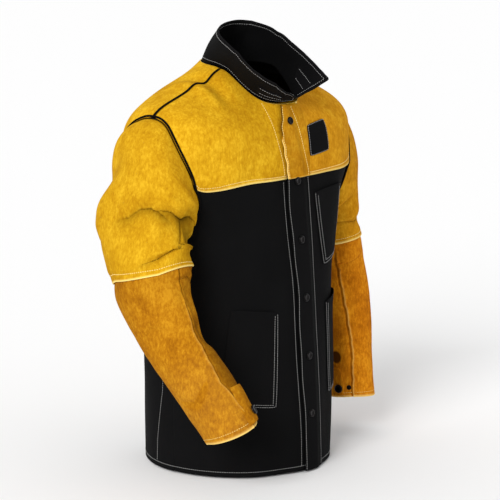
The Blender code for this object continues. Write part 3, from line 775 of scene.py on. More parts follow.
def body_folds(angle, height):
    """How far the cloth of body and yokes stands off the smooth form."""
    base = body(angle, height)
    x, y, z = base[..., 0], base[..., 1], base[..., 2]
    ahead = np.cos(angle) > 0
    edge = side_edge(height, ahead)
    turned = np.abs((angle + pi) % (2 * pi) - pi)
    by_edge = 1 - smooth(0.0, 0.10, np.abs(turned - edge))
    free = 1 - by_edge * smooth(0.80, 0.88, height) * (height < ARM_TOP)
    low = 1 - smooth(0.45, 1.0, height)
    sag = 0.0022 * low * np.sin(38 * x + 9 * z + 1.5 * np.sin(7 * z) + np.where(ahead, 0.0, 1.7))
    sag += 0.0012 * np.sin(61 * x - 17 * z + 2.0) * (1 - smooth(1.0, 1.5, height))
    soft = 0.0010 * np.sin(33 * x + 41 * z + 14 * y) * smooth(0.9, 1.2, height)
    from_neck = np.abs(x) - NECK_HALF_WIDTH
    shoulder = smooth(1.45, 1.60, height) * smooth(0.5, 0.1, np.abs(turned - pi / 2))
    kink = -0.0085 * bell(from_neck - 0.045, 0.016)
    kink += 0.0040 * bell(from_neck - 0.072, 0.014)
    flat = smooth(0.020, 0.075, np.abs(x)) * 0.6 + 0.4
    return (sag * np.where(ahead, flat, 1.0) + soft) * free + kink * shoulder


def skin(angle, height, lift=0.0):
    """Points of the body with its folds, raised by lift, and the normals there."""
    angle, height = np.broadcast_arrays(np.asarray(angle, float), np.asarray(height, float))
    normal = body_normal(angle, height)
    return body(angle, height) + (body_folds(angle, height) + lift)[..., None] * normal, normal


def heights_at(x, z):
    """Heights on the body's front at these x and z."""
    x, z = np.broadcast_arrays(np.asarray(x, float), np.asarray(z, float))
    hem, neck = np.zeros(x.shape), np.full(x.shape, 2.0)
    return bisect(lambda height: body(angle_at_x(x, height), height)[..., 2], z, hem, neck, 22)


def on_front(x, z, lift=0.0):
    height = heights_at(x, z)
    return skin(angle_at_x(x, height), height, lift)


SEAM_TUCK, YOKE_CORNER, YOKE_DIP = 0.0045, 0.011, 0.0085
YOKE_RISE = 0.16  # metres up a yoke for a step of 1 in height
LAP_PRESS, LAP_STITCH = 0.0007, 0.0054


def rounded(side, heights, from_corner):
    """Heights of a yoke's rows: its lower corner by the armhole is round, and the right one dips there."""
    reach = clamp01(1 - from_corner / 0.030)
    rise = YOKE_CORNER * (1 - np.sqrt(np.maximum(0.0, 1 - reach**2)))
    dip = YOKE_DIP * (1 - smooth(0.02, 0.16, from_corner)) * (side < 0)
    up = (heights - 1) * YOKE_RISE + (rise - dip) * clamp01(1 - (heights - 1) / 0.30)
    return 1 + np.where(up < 0, up / (YOKE_Z - HEM_Z), up / YOKE_RISE)


def front_grid(side, heights, centre_x, columns, lift=0.0):
    heights = np.asarray(heights)[:, None]
    shares = spread(columns, size=0.25)[None]
    if heights[0, 0] >= 1:
        heights = rounded(side, heights, (1 - shares) * 0.25)
    start = angle_at_x(centre_x, heights)
    end = side * (side_edge(heights, True) - SEAM_TUCK)
    points, normals = skin(mix(start, end, shares), heights, lift)
    return Grid(points, normals)


def back_grid(heights, columns, lift=0.0):
    heights = np.asarray(heights)[:, None]
    edge = side_edge(heights, False) + SEAM_TUCK
    points, normals = skin(mix(edge, 2 * pi - edge, spread(columns, size=0.55)[None]), heights, lift)
    return Grid(points, normals)


def edge_tone(grid, first=1, width=0.0022):
    """Lightening by the grid's low edge and, by the share first, by its first column."""
    along, up = grid.sizes()
    return 0.30 * clamp01(1.5 * bell(up, width) + first * bell(along, width))


def yoke_tone(grid, first):
    """A yoke's colour: light cut edges, and painted shade where it goes under the piping of an armhole."""
    along = grid.sizes()[0]
    dark = bell(along[:, -1:] - along, 0.0016) + (1 - first) * bell(along, 0.0016)
    return edge_tone(grid, first) - 1.5 * dark


def yoke_lift(heights, base):
    """The yoke's cut lower edge lies on the cloth, and its row of stitches presses it down."""
    up = (np.asarray(heights) - 1.0) * YOKE_RISE
    return base - LAP_PRESS * bell(up - LAP_STITCH, 0.0025) * (up < 0.03)


CLOTH_HEIGHTS = np.concatenate(([0.0, 0.0025, 0.006], np.linspace(0.014, 1.012, 118)))
YOKE_HEIGHTS = np.concatenate(([1.0, 1.006, 1.014], np.linspace(1.024, 1.992, 92)))
YOKE_LIFT = 0.0030
NECK_TRIM = 1.985  # the height where facing and shoulder piping end under the collar

back_panel = back_grid(CLOTH_HEIGHTS, 150)
back_yoke = back_grid(YOKE_HEIGHTS, 150, yoke_lift(YOKE_HEIGHTS, YOKE_LIFT)[:, None])
pieces = {"back_panel": slab("cloth_back", back_panel, CLOTH, COTTON)}
pieces["back_yoke"] = slab("leather_back_yoke", back_yoke, LEATHER, LIT_GOLD, yoke_tone(back_yoke, 0))
for side, word, centre_x in ((-1, "right", RIGHT_EDGE_X), (1, "left", PLACKET_SEAM_X - 0.004)):
    front = front_grid(side, CLOTH_HEIGHTS, centre_x, 90)
    pieces[f"{word}_front_panel"] = slab(f"cloth_{word}_front", front, CLOTH, COTTON)
    yoke = front_grid(side, YOKE_HEIGHTS, centre_x, 90, yoke_lift(YOKE_HEIGHTS, YOKE_LIFT)[:, None])
    surface = LIT_GOLD if side < 0 else SHADED_GOLD
    pieces[f"{word}_front_yoke"] = slab(f"leather_{word}_yoke", yoke, LEATHER, surface, yoke_tone(yoke, 1))
for name, made in pieces.items():
    settle(made, "gold_suede" if "yoke" in name else "black_cotton", "jacket_body", name)

# A black facing lines the neck inside the yokes, from one front edge round to the other.
facing_heights = np.linspace(ARM_TOP, NECK_TRIM, 40)[:, None]
facing_start = angle_at_x(0.020, facing_heights)
facing_end = angle_at_x(0.040, facing_heights) - 2 * pi
facing_turns = mix(facing_start, facing_end, spread(150, size=0.5)[None])
facing = Grid(*skin(facing_turns, facing_heights, YOKE_LIFT - LEATHER - 0.0006))
made = slab("neck_facing", facing, 0.0012, COTTON)
settle(made, "black_cotton", "jacket_body")

# ---- Placket ---------------------------------------------------------------------------------

PLACKET_END_X = 0.034
PLACKET_TOP = PLACKET_LIFT + CLOTH
# The lap's free edge and its seam wander: x at heights.
LAP_EDGE = (
    (0.0, 0.10, 0.19, 0.42, 0.66, 0.77, 0.93, 1.03, 1.28, 1.64, 1.94),
    (-0.021, -0.019, -0.020, -0.026, -0.024, -0.030, -0.034, -0.034, -0.039, -0.040, -0.025),
)
LAP_SEAM = (
    (0.0, 0.15, 0.64, 0.92, 1.05, 1.36, 1.69, 1.96),
    (0.030, 0.031, 0.033, 0.028, 0.027, 0.018, 0.010, 0.001),
)


def wander(table, height):
    """A table's x at heights, eased so that it has no corners."""
    spots = [np.interp(height + step, *table) for step in (-0.06, -0.03, 0.0, 0.03, 0.06)]
    return sum(spots) / len(spots)


def placket_lift(x, height):
    """High over the snaps, down on the panel at its seam, and slack between the snaps."""
    seam = wander(LAP_SEAM, height)
    waves = 0.0010 * np.sin(2 * pi * (height * 5.04 + 0.2)) * smooth(0.0, -0.03, x)
    top = mix(PLACKET_TOP + 0.0008, 0.0024, smooth(seam - 0.020, seam - 0.001, x))
    return top + waves


def placket_grid(heights, rise):
    heights = np.asarray(heights)[:, None]
    x = mix(wander(LAP_EDGE, heights), PLACKET_END_X, spread(34, size=0.06)[None])
    points, normals = skin(angle_at_x(x, heights), heights, placket_lift(x, heights) + rise)
    return Grid(points, normals)


placket_cloth = placket_grid(CLOTH_HEIGHTS, 0.0)
placket_leather = placket_grid(YOKE_HEIGHTS[:-2], YOKE_LIFT - 0.0006)
hinge_start, hinge_end = (PLACKET_END_X, -0.18, -0.4), (0.022, -0.18, -0.4)
for name, grid, thickness, surface, slot in (
    ("placket_cloth", placket_cloth, CLOTH, COTTON, "black_cotton"),
    ("placket_leather", placket_leather, 0.0020, SHADED_GOLD, "gold_suede"),
):
    tone = 0.0
    if surface is SHADED_GOLD:
        # Painted shadow along the lap's free edge on its upper part; the whole lap is also toned down a
        # little.
        shadow_rows = smooth(0.50, 0.62, np.linspace(0, 1, len(grid.points)))[:, None]
        tone = edge_tone(grid, width=0.0016) - 0.20
        tone = tone - 1.3 * shadow_rows * bell(grid.sizes()[0], 0.0014)
    made = slab(name + "_lap", grid, thickness, surface, tone)
    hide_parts(name)
    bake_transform(made)
    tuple(hinge_start)
    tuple(hinge_end)

# ---- Pockets and patch -----------------------------------------------------------------------


def patch_grid(corners, side, lift, rows=30, columns=34, top_gape=0.0, round_corners=0.0):
    (low_in, low_out), (high_in, high_out) = np.array(corners)
    v, u = spread(rows, size=0.17)[:, None, None], spread(columns, size=0.08)[None, :, None]
    flat = mix(mix(low_in, low_out, u), mix(high_in, high_out, u), v)
    if round_corners:
        away_u, away_v = np.abs(2 * u - 1) ** 6, np.abs(2 * v - 1) ** 6
        centre = (low_in + low_out + high_in + high_out) / 4
        flat = centre + (flat - centre) * (1 - round_corners * away_u * away_v)
    u, v = u[..., 0], v[..., 0]
    rise = lift + 0.0016 * smooth(0, 0.12, u) * smooth(0, 0.12, 1 - u) * smooth(0, 0.08, v)
    rise = rise + top_gape * smooth(0.86, 1.0, v) * np.sin(pi * u) ** 0.7
    points, normals = on_front(flat[..., 0] * side, flat[..., 1], rise)
    return Grid(points, normals)


pockets = {
    "right_hip_pocket": patch_grid(RIGHT_HIP_POCKET, -1, 0.0022, top_gape=0.0022, round_corners=0.03),
    "left_hip_pocket": patch_grid(HIP_POCKET, 1, 0.0022, top_gape=0.0022, round_corners=0.03),
    "chest_pocket": patch_grid(CHEST_POCKET, 1, 0.0022, top_gape=0.0016, round_corners=0.03),
    "chest_patch": patch_grid(CHEST_PATCH, 1, YOKE_LIFT + 0.0011, 20, 24, 0.0, 0.05),
}
for name, grid in pockets.items():
    made = slab(name + "_cloth", grid, 0.0014, COTTON)
    settle(made, "black_cotton", "jacket_body", name)

# ---- Collar ----------------------------------------------------------------------------------


def collar_skin(angle, share, lift=0.0):
    wrapped = (np.asarray(angle, float) + radians(160)) % (2 * pi) - radians(160)
    wrapped, share = np.broadcast_arrays(wrapped, np.asarray(share, float))
    normal = collar_normal(wrapped, share)
    wave = 0.0012 * np.sin(5 * wrapped + 6 * share) * share
    return collar(wrapped, share) + (lift + wave)[..., None] * normal, normal


def collar_grid(start, end, columns):
    """The collar's cloth. At the back its foot reaches further down inside the neck."""
    angles = np.radians(np.linspace(start, end, columns))[None]
    foot = -0.05 - 0.09 * np.sqrt(clamp01(-np.cos(angles)))
    points, normals = collar_skin(angles, mix(foot, 1.0, spread(30, size=0.08)[:, None]))
    return Grid(points, normals)


COLLAR_CLOTH = 0.0036
collar_main, collar_wing = collar_grid(73, 372, 180), collar_grid(21, 79, 60)
made = slab("collar_stand", collar_main, COLLAR_CLOTH, COTTON)
settle(made, "black_cotton", "jacket_body", "collar_back", "collar_right")
wing_start, wing_end = collar(radians(79), 0.5), collar(radians(62), 0.5)
collar_wing.points = collar_wing.points + 0.0003 * collar_wing.normals
made = slab("collar_wing_cloth", collar_wing, COLLAR_CLOTH + 0.0006, COTTON)
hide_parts("collar_left")
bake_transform(made)
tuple(wing_start)
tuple(wing_end)


def tape(name, angles, shares, lift, body_name, node_name):
    across = np.radians(mix(*angles, spread(22, size=0.06)))
    points, normals = collar_skin(across[None], mix(*shares, spread(10, size=0.03))[:, None], lift)
    made = slab(name, Grid(points, normals), 0.0014, TAPE)
    settle(made, "grip_tape", body_name, node_name)


tape("loop_tape", (-48, -8), (0.22, 0.50), 0.0016, "jacket_body", "collar_loop_tape")
tape("hook_tape", (28, 56), (0.28, 0.60), -COLLAR_CLOTH - 0.0002, "collar_wing", "collar_hook_tape")

# ---- Piping and hanger loop ------------------------------------------------------------------

PIPING_RADIUS = 0.0021
for side, word in SIDES:
    heights = np.linspace(ARM_TOP + 0.020, NECK_TRIM, 50)
    line = skin(side * shoulder_angle(heights), heights, YOKE_LIFT + 0.0006)[0]
    turns = np.linspace(radians(20), radians(340), 160)
    heights = mix(ARM_LOW, ARM_TOP + 0.016, (1 - np.cos(turns)) / 2)
    front, back = armhole_angles(turns)
    away = radians(0.9) * np.abs(np.sin(turns))
    angles = np.where(np.sin(turns) >= 0, front - away, back + away)
    hole = skin(side * angles, heights, 0.0028)[0]
    for label, path in (("shoulder", line), ("armhole", hole)):
        made = cord(f"{word}_{label}_cord", path, PIPING_RADIUS, PIPING)
        settle(made, "black_piping", "jacket_body", f"{word}_{label}_piping")
turns = np.linspace(0, pi, 40)
centre = neck_ring(np.array(pi))
line = centre + stack(0.028 * np.cos(turns), -0.0085, -0.006 - 0.020 * np.sin(turns))
made = cord("hanger_loop_cord", line, 0.0018, PIPING)
settle(made, "black_piping", "jacket_body", "hanger_loop")

# ---- Sleeves ---------------------------------------------------------------------------------

DEGREE, UPPER_LENGTH, LOWER_LENGTH = 0.0013, 0.187, 0.330
BAND_STITCH, CUFF_STITCH = 0.0075, 0.0085
SLEEVE_CUT = {-1: -30.0, 1: -130.0}
# A crease: (turn in degrees, s) points, depth, width above it, width below it, ridge above it.
CREASES = {
    -1: (
        (((198, 0.67), (180, 0.645), (166, 0.60), (151, 0.58), (138, 0.60), (122, 0.63)), 0.0070, 0.005,
         0.014, 0.0030),
        (((142, 0.575), (123, 0.550), (110, 0.540), (94, 0.50), (80, 0.435), (66, 0.38), (48, 0.34)),
         0.0160, 0.006, 0.030, 0.0070),
        (((158, 0.95), (132, 0.915), (111, 0.83), (95, 0.77), (75, 0.75)), 0.0085, 0.006, 0.012, 0.0030),
        (((112, 0.82), (104, 0.72), (99, 0.62), (96, 0.55)), 0.0060, 0.007, 0.007, 0.0),
        (((226, 0.78), (255, 0.70), (300, 0.72)), 0.0050, 0.006, 0.014, 0.0020),
        (((40, 1.17), (70, 1.13), (96, 1.15)), 0.0050, 0.006, 0.012, 0.0020),
        (((150, 1.36), (178, 1.31), (206, 1.35)), 0.0022, 0.008, 0.014, 0.0010),
        (((140, 1.72), (176, 1.78), (206, 1.74)), 0.0022, 0.008, 0.014, 0.0010),
        (((240, 1.10), (275, 1.16), (310, 1.12)), 0.0035, 0.007, 0.014, 0.0010),
    ),
    1: (
        (((30, 0.66), (60, 0.70), (90, 0.74), (125, 0.72)), 0.0075, 0.006, 0.015, 0.0030),
        (((10, 0.50), (45, 0.46), (80, 0.50)), 0.0045, 0.006, 0.014, 0.0020),
        (((20, 1.10), (60, 1.13), (110, 1.09)), 0.0035, 0.006, 0.012, 0.0015),
        (((-60, 0.74), (-90, 0.68), (-120, 0.72)), 0.0045, 0.006, 0.014, 0.0020),
        (((50, 1.42), (80, 1.38), (120, 1.41)), 0.0022, 0.008, 0.014, 0.0010),
        (((150, 0.62), (180, 0.58), (215, 0.62)), 0.0045, 0.006, 0.014, 0.0020),
    ),
}
# A swell: (turn in degrees, s), half sizes round and down the sleeve, amount, lean.
SWELLS = {
    -1: (
        ((240, 0.62), (0.045, 0.026), 0.0105, 0.0),
        ((236, 0.37), (0.050, 0.022), -0.0110, 0.0),
        ((236, 0.93), (0.055, 0.034), -0.0085, 0.0),
        ((82, 0.34), (0.034, 0.016), 0.0060, 0.2),
        ((78, 0.66), (0.034, 0.028), -0.0080, 0.0),
        ((52, 1.03), (0.030, 0.020), 0.0085, 0.0),
        ((160, 0.32), (0.050, 0.040), 0.0025, 0.3),
        ((226, 0.14), (0.070, 0.026), 0.0060, 0.0),
    ),
    1: (
        ((100, 0.60), (0.040, 0.020), 0.0030, 0.0),
        ((100, 0.84), (0.040, 0.018), 0.0045, 0.0),
        ((60, 0.30), (0.050, 0.030), 0.0025, 0.0),
    ),
}
# How far the outline stands off: the turn and half width in degrees, stations and amounts.
OUTLINES = {
    -1: (
        (232, 45, (0.0, 0.08, 0.24, 0.31, 0.45, 0.55, 0.66, 0.95, 0.98, 1.03, 1.10, 1.17, 1.24, 1.32,
         1.40, 1.47, 1.55, 1.66, 1.78, 1.86, 2.0),
         (0.0, -0.001, -0.003, -0.003, -0.004, -0.001, -0.003, -0.001, -0.005, 0.0, 0.002, 0.003, 0.006,
          0.0085, 0.009, 0.0075, 0.006, 0.004, 0.0015, -0.001, -0.0015)),
        (45, 40, (0.50, 0.60, 0.70, 0.80, 0.95, 1.0, 1.07, 1.15, 1.20, 1.24, 1.31, 1.36, 1.42, 1.46,
         1.50, 1.54, 1.62, 1.69, 1.76, 1.90, 2.0),
         (0.0, -0.008, -0.007, -0.002, 0.0, -0.002, 0.002, 0.003, 0.0, -0.004, -0.0065, -0.009, -0.015,
          -0.0195, -0.021, -0.015, -0.010, -0.005, -0.002, -0.0015, 0.0)),
        (74, 24, (1.15, 1.21, 1.25, 1.29, 1.32, 1.36, 1.39, 1.42, 1.456, 1.49, 1.53, 1.57, 2.0),
         (0.0, -0.006, -0.010, -0.0105, -0.010, -0.009, -0.010, -0.0125, -0.016, -0.0145, -0.006, 0.0,
          0.0)),
    ),
    1: (
        (122, 45, (0.40, 0.55, 0.69, 0.81, 0.89, 0.99, 1.08, 1.16, 1.30, 1.43, 1.56, 1.69, 1.76, 1.90, 2.0),
         (0.0, -0.006, -0.007, -0.010, -0.0045, 0.003, 0.0045, 0.006, 0.009, 0.009, 0.007, 0.003, 0.001,
          -0.002, -0.0025)),
    ),
}
SEAM_TURNS = {
    -1: ((1.0, 1.3, 1.45, 1.75, 1.90, 2.0), (95, 95, 108, 108, 92, 86)),
    1: ((1.0, 1.16, 1.45, 1.70, 1.94, 2.0), (40, 42, 47, 48, 37, 36)),
}
BAND_EDGES = {
    -1: ((-40, 0, 56, 131, 205, 290, 330), (1.00, 1.02, 1.05, 1.062, 0.995, 0.995, 1.00)),
    1: ((-130, -60, 0, 52, 113, 180, 230), (0.97, 0.965, 0.955, 0.950, 0.918, 0.950, 0.97)),
}


def down_sleeve(s):
    """Metres down the sleeve."""
    s = np.asarray(s, float)
    return np.where(s < 1, s * UPPER_LENGTH, UPPER_LENGTH + (s - 1) * LOWER_LENGTH)


def unrolled(side, s, turn):
    """Degrees round the sleeve from where it is cut open, and metres round it and down it."""
    cut = SLEEVE_CUT[side]
    degrees = (np.degrees(turn) - cut) % 360 + cut
    return degrees, degrees * DEGREE, down_sleeve(s)


def small_swells(seed, count):
    random = np.random.default_rng(seed)
    for _ in range(count):
        place = (random.uniform(-120, 330), random.uniform(0.08, 1.95))
        size = (random.uniform(0.014, 0.045), random.uniform(0.010, 0.030))
        yield place, size, random.uniform(-0.0016, 0.0018), random.uniform(-0.8, 0.8)


def sleeve_folds(side, s, turn):
    """How far the leather stands off the smooth sleeve, how far it hangs down, and its shade."""
    degrees, u, v = unrolled(side, s, turn)
    total = np.zeros((3, *np.shape(u)))
    for middle, width, stations, amounts in OUTLINES[side]:
        eased = sum(np.interp(s + step, stations, amounts) for step in (-0.024, -0.008, 0.008, 0.024)) / 4
        total[0] += eased * bell(degrees - middle, width)
    for path, depth, above, below, ridge in CREASES[side]:
        turns, stations = np.array(path, float).T
        line = np.stack((turns * DEGREE, down_sleeve(stations)), -1)
        total += np.array(crease(u, v, line, depth, above, below, ridge))
    for (place, station), size, amount, lean in (*SWELLS[side], *small_swells(11 + side, 70)):
        total[0] += swell(u, v, (place * DEGREE, float(down_sleeve(station))), size, amount, lean)
    return total * smooth(0.0, 0.06, s)


def seam_distance(side, s, turn):
    """Metres round the sleeve from the forearm's lengthwise seam."""
    degrees = unrolled(side, s, turn)[0]
    wavy = 0.7 * np.sin(44 * s) + 0.4 * np.sin(97 * s + 1)
    return (degrees - np.interp(s, *SEAM_TURNS[side]) - wavy) * 0.00095


def seam_relief(side, s, turn):
    away = seam_distance(side, s, turn)
    flap = 0.0016 * bell(away - 0.0042, 0.0026) * (1 + 0.5 * np.sin(70 * s))
    return flap - 0.0026 * bell(away, 0.0014)


def sleeve_skin(side, s, turn, lift=0.0):
    s, turn = np.broadcast_arrays(np.asarray(s, float), np.asarray(turn, float))
    normal = -side * surface_normal(lambda a, b: sleeve(side, b, a), turn, s)
    rise, hang, _ = sleeve_folds(side, s, turn)
    down = unit(sleeve(side, s + 0.01, turn) - sleeve(side, s, turn))
    points = sleeve(side, s, turn) + (rise + lift)[..., None] * normal + hang[..., None] * down
    return points, normal


RING = np.linspace(0, 2 * pi, 280, endpoint=False)


def band_edge(side, turn):
    degrees = unrolled(side, np.ones_like(turn), turn)[0]
    return np.interp(degrees, *BAND_EDGES[side])


def upper_lift(side, s, turn):
    """The upper sleeve's last bit laps over the forearm, and its stitches press it down."""
    up = (band_edge(side, turn) - s) * UPPER_LENGTH
    lap = 0.0016 * (1 - smooth(0.006, 0.030, up)) - 0.0009 * bell(up - BAND_STITCH, 0.0028)
    return 0.0006 + lap


def shoulder_bend(side):
    """Two points near the top of the upper sleeve, between the body and the arm."""
    return (side * 0.254, -0.02, -0.208), (side * 0.290, -0.02, -0.229)


for side, word in SIDES:
    shares = np.concatenate((np.linspace(0, 0.985, 130), (0.993, 1.0)))[:, None]
    s, turn = shares * band_edge(side, RING)[None], np.broadcast_to(RING, (len(shares), len(RING)))
    points, normals = sleeve_skin(side, s, turn, upper_lift(side, s, turn))
    grid = Grid(points, normals, wrap=True)
    up = grid.sizes()[1]
    # The right sleeve is a little darker overall and its lower cut edge is pale; a painted shadow darkens
    # the head's edge by the armhole piping.
    tone = (-0.10 if side < 0 else 0.0) - 1.8 * bell(up, 0.0016) + 0.50 * bell(up[-1:] - up, 0.0024)
    # Painted shade in the creases.
    tone = tone + 0.9 * sleeve_folds(side, s, turn)[2]
    # Painted shade on the inner lobe below the right sleeve's deep crease.
    if side < 0:
        _, u, v = unrolled(side, s, turn)
        tone = tone + swell(u, v, (70 * DEGREE, 0.62 * UPPER_LENGTH), (0.034, 0.028), -0.55)
    made = slab(f"{word}_upper_sleeve_leather", grid, LEATHER, LIT_GOLD if side < 0 else SHADED_GOLD, tone)
    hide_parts(f"{word}_upper_sleeve", f"{word}_elbow_band")
    start, end = shoulder_bend(side)
    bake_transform(made)
    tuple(start)
    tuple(end)

    shares = np.concatenate((np.linspace(0, 0.988, 190), (0.994, 1.0)))[:, None]
    begin = band_edge(side, RING)[None] - 0.035
    s = mix(begin, 2.0, shares)
    turn = np.broadcast_to(RING, s.shape)
    lift = seam_relief(side, s, turn) * smooth(1.0, 1.08, s) - 0.0014 * (1 - smooth(1.0, 1.10, s))
    points, normals = sleeve_skin(side, s, turn, lift)
    grid = Grid(points, normals, wrap=True)
    up = grid.sizes()[1]
    away = seam_distance(side, s, turn)
    tone = 0.40 * bell(up[-1:] - up, 0.0024) - 0.5 * bell(away, 0.0013)
    tone = tone + (0.16 if side > 0 else 0.06) * bell(away - 0.0042, 0.0016) * smooth(1.0, 1.5, s)
    # Painted shade in the creases.
    tone = tone + 0.5 * sleeve_folds(side, s, turn)[2]
    if side < 0:
        # Painted shade on the strip of under-sleeve beyond the lengthwise seam.
        shaded_strip = smooth(0.0, 0.003, -away) * (1 - smooth(0.045, 0.060, -away))
        tone = tone - 0.50 * shaded_strip * smooth(1.34, 1.44, s) * (1 - smooth(1.82, 1.90, s))
        tone = tone + 0.012 * smooth(1.45, 1.75, s) - 0.10 * (1 - smooth(1.05, 1.35, s))
    else:
        # Painted shadow of the gaping vent above the cuff: a dark patch.
        vent_shadow_reach = np.hypot((unrolled(side, s, turn)[0] - 12) * 0.0009, (s - 1.735) * LOWER_LENGTH * 0.8)
        tone = tone - 1.2 * (1 - smooth(0.008, 0.013, vent_shadow_reach))
    made = slab(f"{word}_lower_sleeve_leather", grid, LEATHER, BROWNS[side], tone)
    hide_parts(f"{word}_lower_sleeve", f"{word}_cuff_hem")
    start, end = arm_middle(side, 0.96), arm_middle(side, 1.28)
    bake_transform(made)
    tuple(start)
    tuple(end)

# ---- Cuff tabs -------------------------------------------------------------------------------

TAB_LIFT, TAB_START, TAB_END = 0.0052, 1.80, 1.985
for side, word in SIDES:
    sewn, free = CUFF_TAB_TURNS[side]
    across = spread(30, size=0.04)[None]
    s = mix(TAB_START, TAB_END, spread(34, size=0.06))[:, None]
    middle = (TAB_START + TAB_END) / 2
    pinch = (np.abs(s - middle) / (TAB_END - middle)) ** 5
    turn = mix(sewn, free, across * (1 - 0.18 * pinch))
    lift = 0.0024 + (TAB_LIFT - 0.0024) * smooth(0.0, 0.45, across) + 0.0008 * np.sin(9 * s + 3 * across)
    points, normals = sleeve_skin(side, s, turn, lift)
    grid = Grid(points, normals)
    made = slab(f"{word}_cuff_tab_leather", grid, 0.0022, BROWNS[side], -0.06, 0.03)
    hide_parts(f"{word}_cuff_tab")
    rows, columns = grid.points.shape[:2]
    start, end = grid.points[rows // 2, 0], grid.points[rows // 2, columns // 3]
    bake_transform(made)
    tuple(start)
    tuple(end)

# ---- Snaps -----------------------------------------------------------------------------------


def turned(name, profile, centre, normal, surface, sides=40):
    """A closed turned shape about the normal at centre, from (radius, height) pairs."""
    up = unit(normal)
    aside = unit(np.cross(up, (0.2, 0.3, 1.0)))
    ahead = np.cross(up, aside)
    turns = np.linspace(0, 2 * pi, sides, endpoint=False)
    spokes = np.cos(turns)[:, None] * aside + np.sin(turns)[:, None] * ahead
    rings = [centre + r * spokes + h * up for r, h in profile[1:-1]]
    poles = [centre + profile[end][1] * up for end in (0, -1)]
    points = np.concatenate((*rings, poles))
    count = len(rings)
    index = np.arange(count * sides).reshape(count, sides)
    ring = np.concatenate((index, index[:, :1]), 1)
    faces = [quads(ring[r], ring[r + 1]) for r in range(count - 1)]
    top, bottom = count * sides, count * sides + 1
    fans = [(top, ring[0, j + 1], ring[0, j]) for j in range(sides)]
    fans += [(bottom, ring[-1, j], ring[-1, j + 1]) for j in range(sides)]
    made = mesh_object(name, points, faces + [np.array(fans)], surface)
    made.data.flip_normals()
    return made


def cap_profile(radius, height):
    """A pressed cap: a shallow dished middle inside a rolled rim."""
    shares = ((0, 0.66), (0.30, 0.68), (0.52, 0.76), (0.64, 0.95), (0.74, 1.0), (0.86, 0.92))
    rim = ((0.95, 0.74), (1.0, 0.48), (1.0, 0.25), (0.96, 0.06), (0.90, 0.0), (0, 0.0))
    return [(radius * r, height * h) for r, h in (*shares, *rim)]


def centre_of(name):
    low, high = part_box(name)
    return (np.array(low) + np.array(high)) / 2


def cap_for(node_name, normal, body_name, radius=0.0072, height=0.0030, sink=0.0008):
    centre = centre_of(node_name) - sink * normal
    made = turned(node_name + "_metal", cap_profile(radius, height), centre, normal, GUNMETAL)
    settle(made, "gunmetal", body_name, node_name)


for number, x in enumerate(SNAP_XS, 1):
    height = heights_at(x, SNAP_TOP_Z - (number - 1) * SNAP_PITCH)
    sink = -0.0016 if number == 1 else 0.0006
    cap_for(f"snap_cap_{number}", body_normal(angle_at_x(x, height), height), "placket", sink=sink)
for side, word in SIDES:
    turn = CUFF_SNAP_TURNS[side][0]
    normal = sleeve_skin(side, CUFF_SNAP_S, turn)[1]
    cap_for(f"{word}_cuff_cap", normal, f"{word}_tab", 0.0085, 0.0036)
for name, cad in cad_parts.items():
    if not cad.hide_render:
        cad.data.materials.clear()
        cad.data.materials.append(GUNMETAL)

# ---- Stitches --------------------------------------------------------------------------------


def sewn(name, lines, surface, *bodies):
    """Stitches that ride on a body; given (body, body, start, end) for a blend between two, they are only
    baked in place.
    """
    made = stitches(name, lines, surface, THREAD if surface is THREAD_GREY else 1.5 * THREAD)
    if len(bodies) == 1:
        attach(made, bodies[0])
    else:
        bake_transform(made)


def rim_line(grid, inset, corners):
    """A line inside a grid's edge, through these corners given as (u, v) shares."""
    along, up = grid.sizes()
    width, length = along[:, -1].mean(), up[-1].mean()
    margin = np.array((inset / width, inset / length))
    path = [mix(margin, 1 - margin, np.array(corner)) for corner in corners]
    points = []
    for a, b in zip(path[:-1], path[1:]):
        points += [mix(a, b, t) for t in np.linspace(0, 1, 60)]
    u, v = np.array(points).T
    return grid.at(u, v)


HEM_STITCH = 0.0085 / (YOKE_Z - HEM_Z)
grey, cream = [], []
round_body = np.linspace(float(angle_at_x(0.022, 0.0)), float(angle_at_x(0.036, 0.0)) - 2 * pi, 400)
grey.append(skin(round_body, HEM_STITCH))
heights = np.linspace(0.02, 0.86, 160)
for side in (-1, 1):
    seam = np.radians(np.interp(heights, (0.0, 0.09, 0.27, 0.50, 0.86), (107.0, 105.8, 99.2, 96.0, 93.0)))
    grey.append(skin(side * seam, heights))
heights = np.linspace(0.015, 0.99, 200)
grey.append(skin(angle_at_x(wander(LAP_EDGE, heights) - 0.0042, heights), heights))
U_SHAPE, L_SHAPE = ((0, 1), (0, 0), (1, 0), (1, 1)), ((0, 1), (0, 0), (1, 0))
for name, shape in (("right_hip_pocket", L_SHAPE), ("left_hip_pocket", U_SHAPE), ("chest_pocket", U_SHAPE)):
    for inset in (0.0035, 0.0145):
        grey.append(rim_line(pockets[name], inset, shape))
grey.append(rim_line(pockets["chest_patch"], 0.0035, ((0, 0), (1, 0), (1, 1), (0, 1), (0, 0))))
share = LAP_STITCH / YOKE_RISE + 1
for side in (-1, 1):
    last = float(side_edge(share, True))
    start, end = float(angle_at_x(0.036 if side > 0 else 0.020, share)), side * (last - 0.045)
    turns = np.linspace(start, end, 160)
    corner = rounded(side, np.full(160, share), (last - 0.022 - side * turns) * 0.24)
    cream.append(skin(turns, corner, YOKE_LIFT - 0.0004))
edge = side_edge(np.array(share), False) + 0.03
cream.append(skin(np.linspace(float(edge), 2 * pi - float(edge), 240), share, YOKE_LIFT - 0.0004))
heights = np.linspace(1.04, 1.975, 120)
line_x = np.interp(heights, (1.04, 1.55, 1.98), (-0.038, -0.049, -0.055))
cream.append(skin(angle_at_x(line_x, heights), heights, YOKE_LIFT))
sewn("body_stitches", grey, THREAD_GREY, "jacket_body")
sewn("yoke_stitches", cream, THREAD_CREAM, "jacket_body")

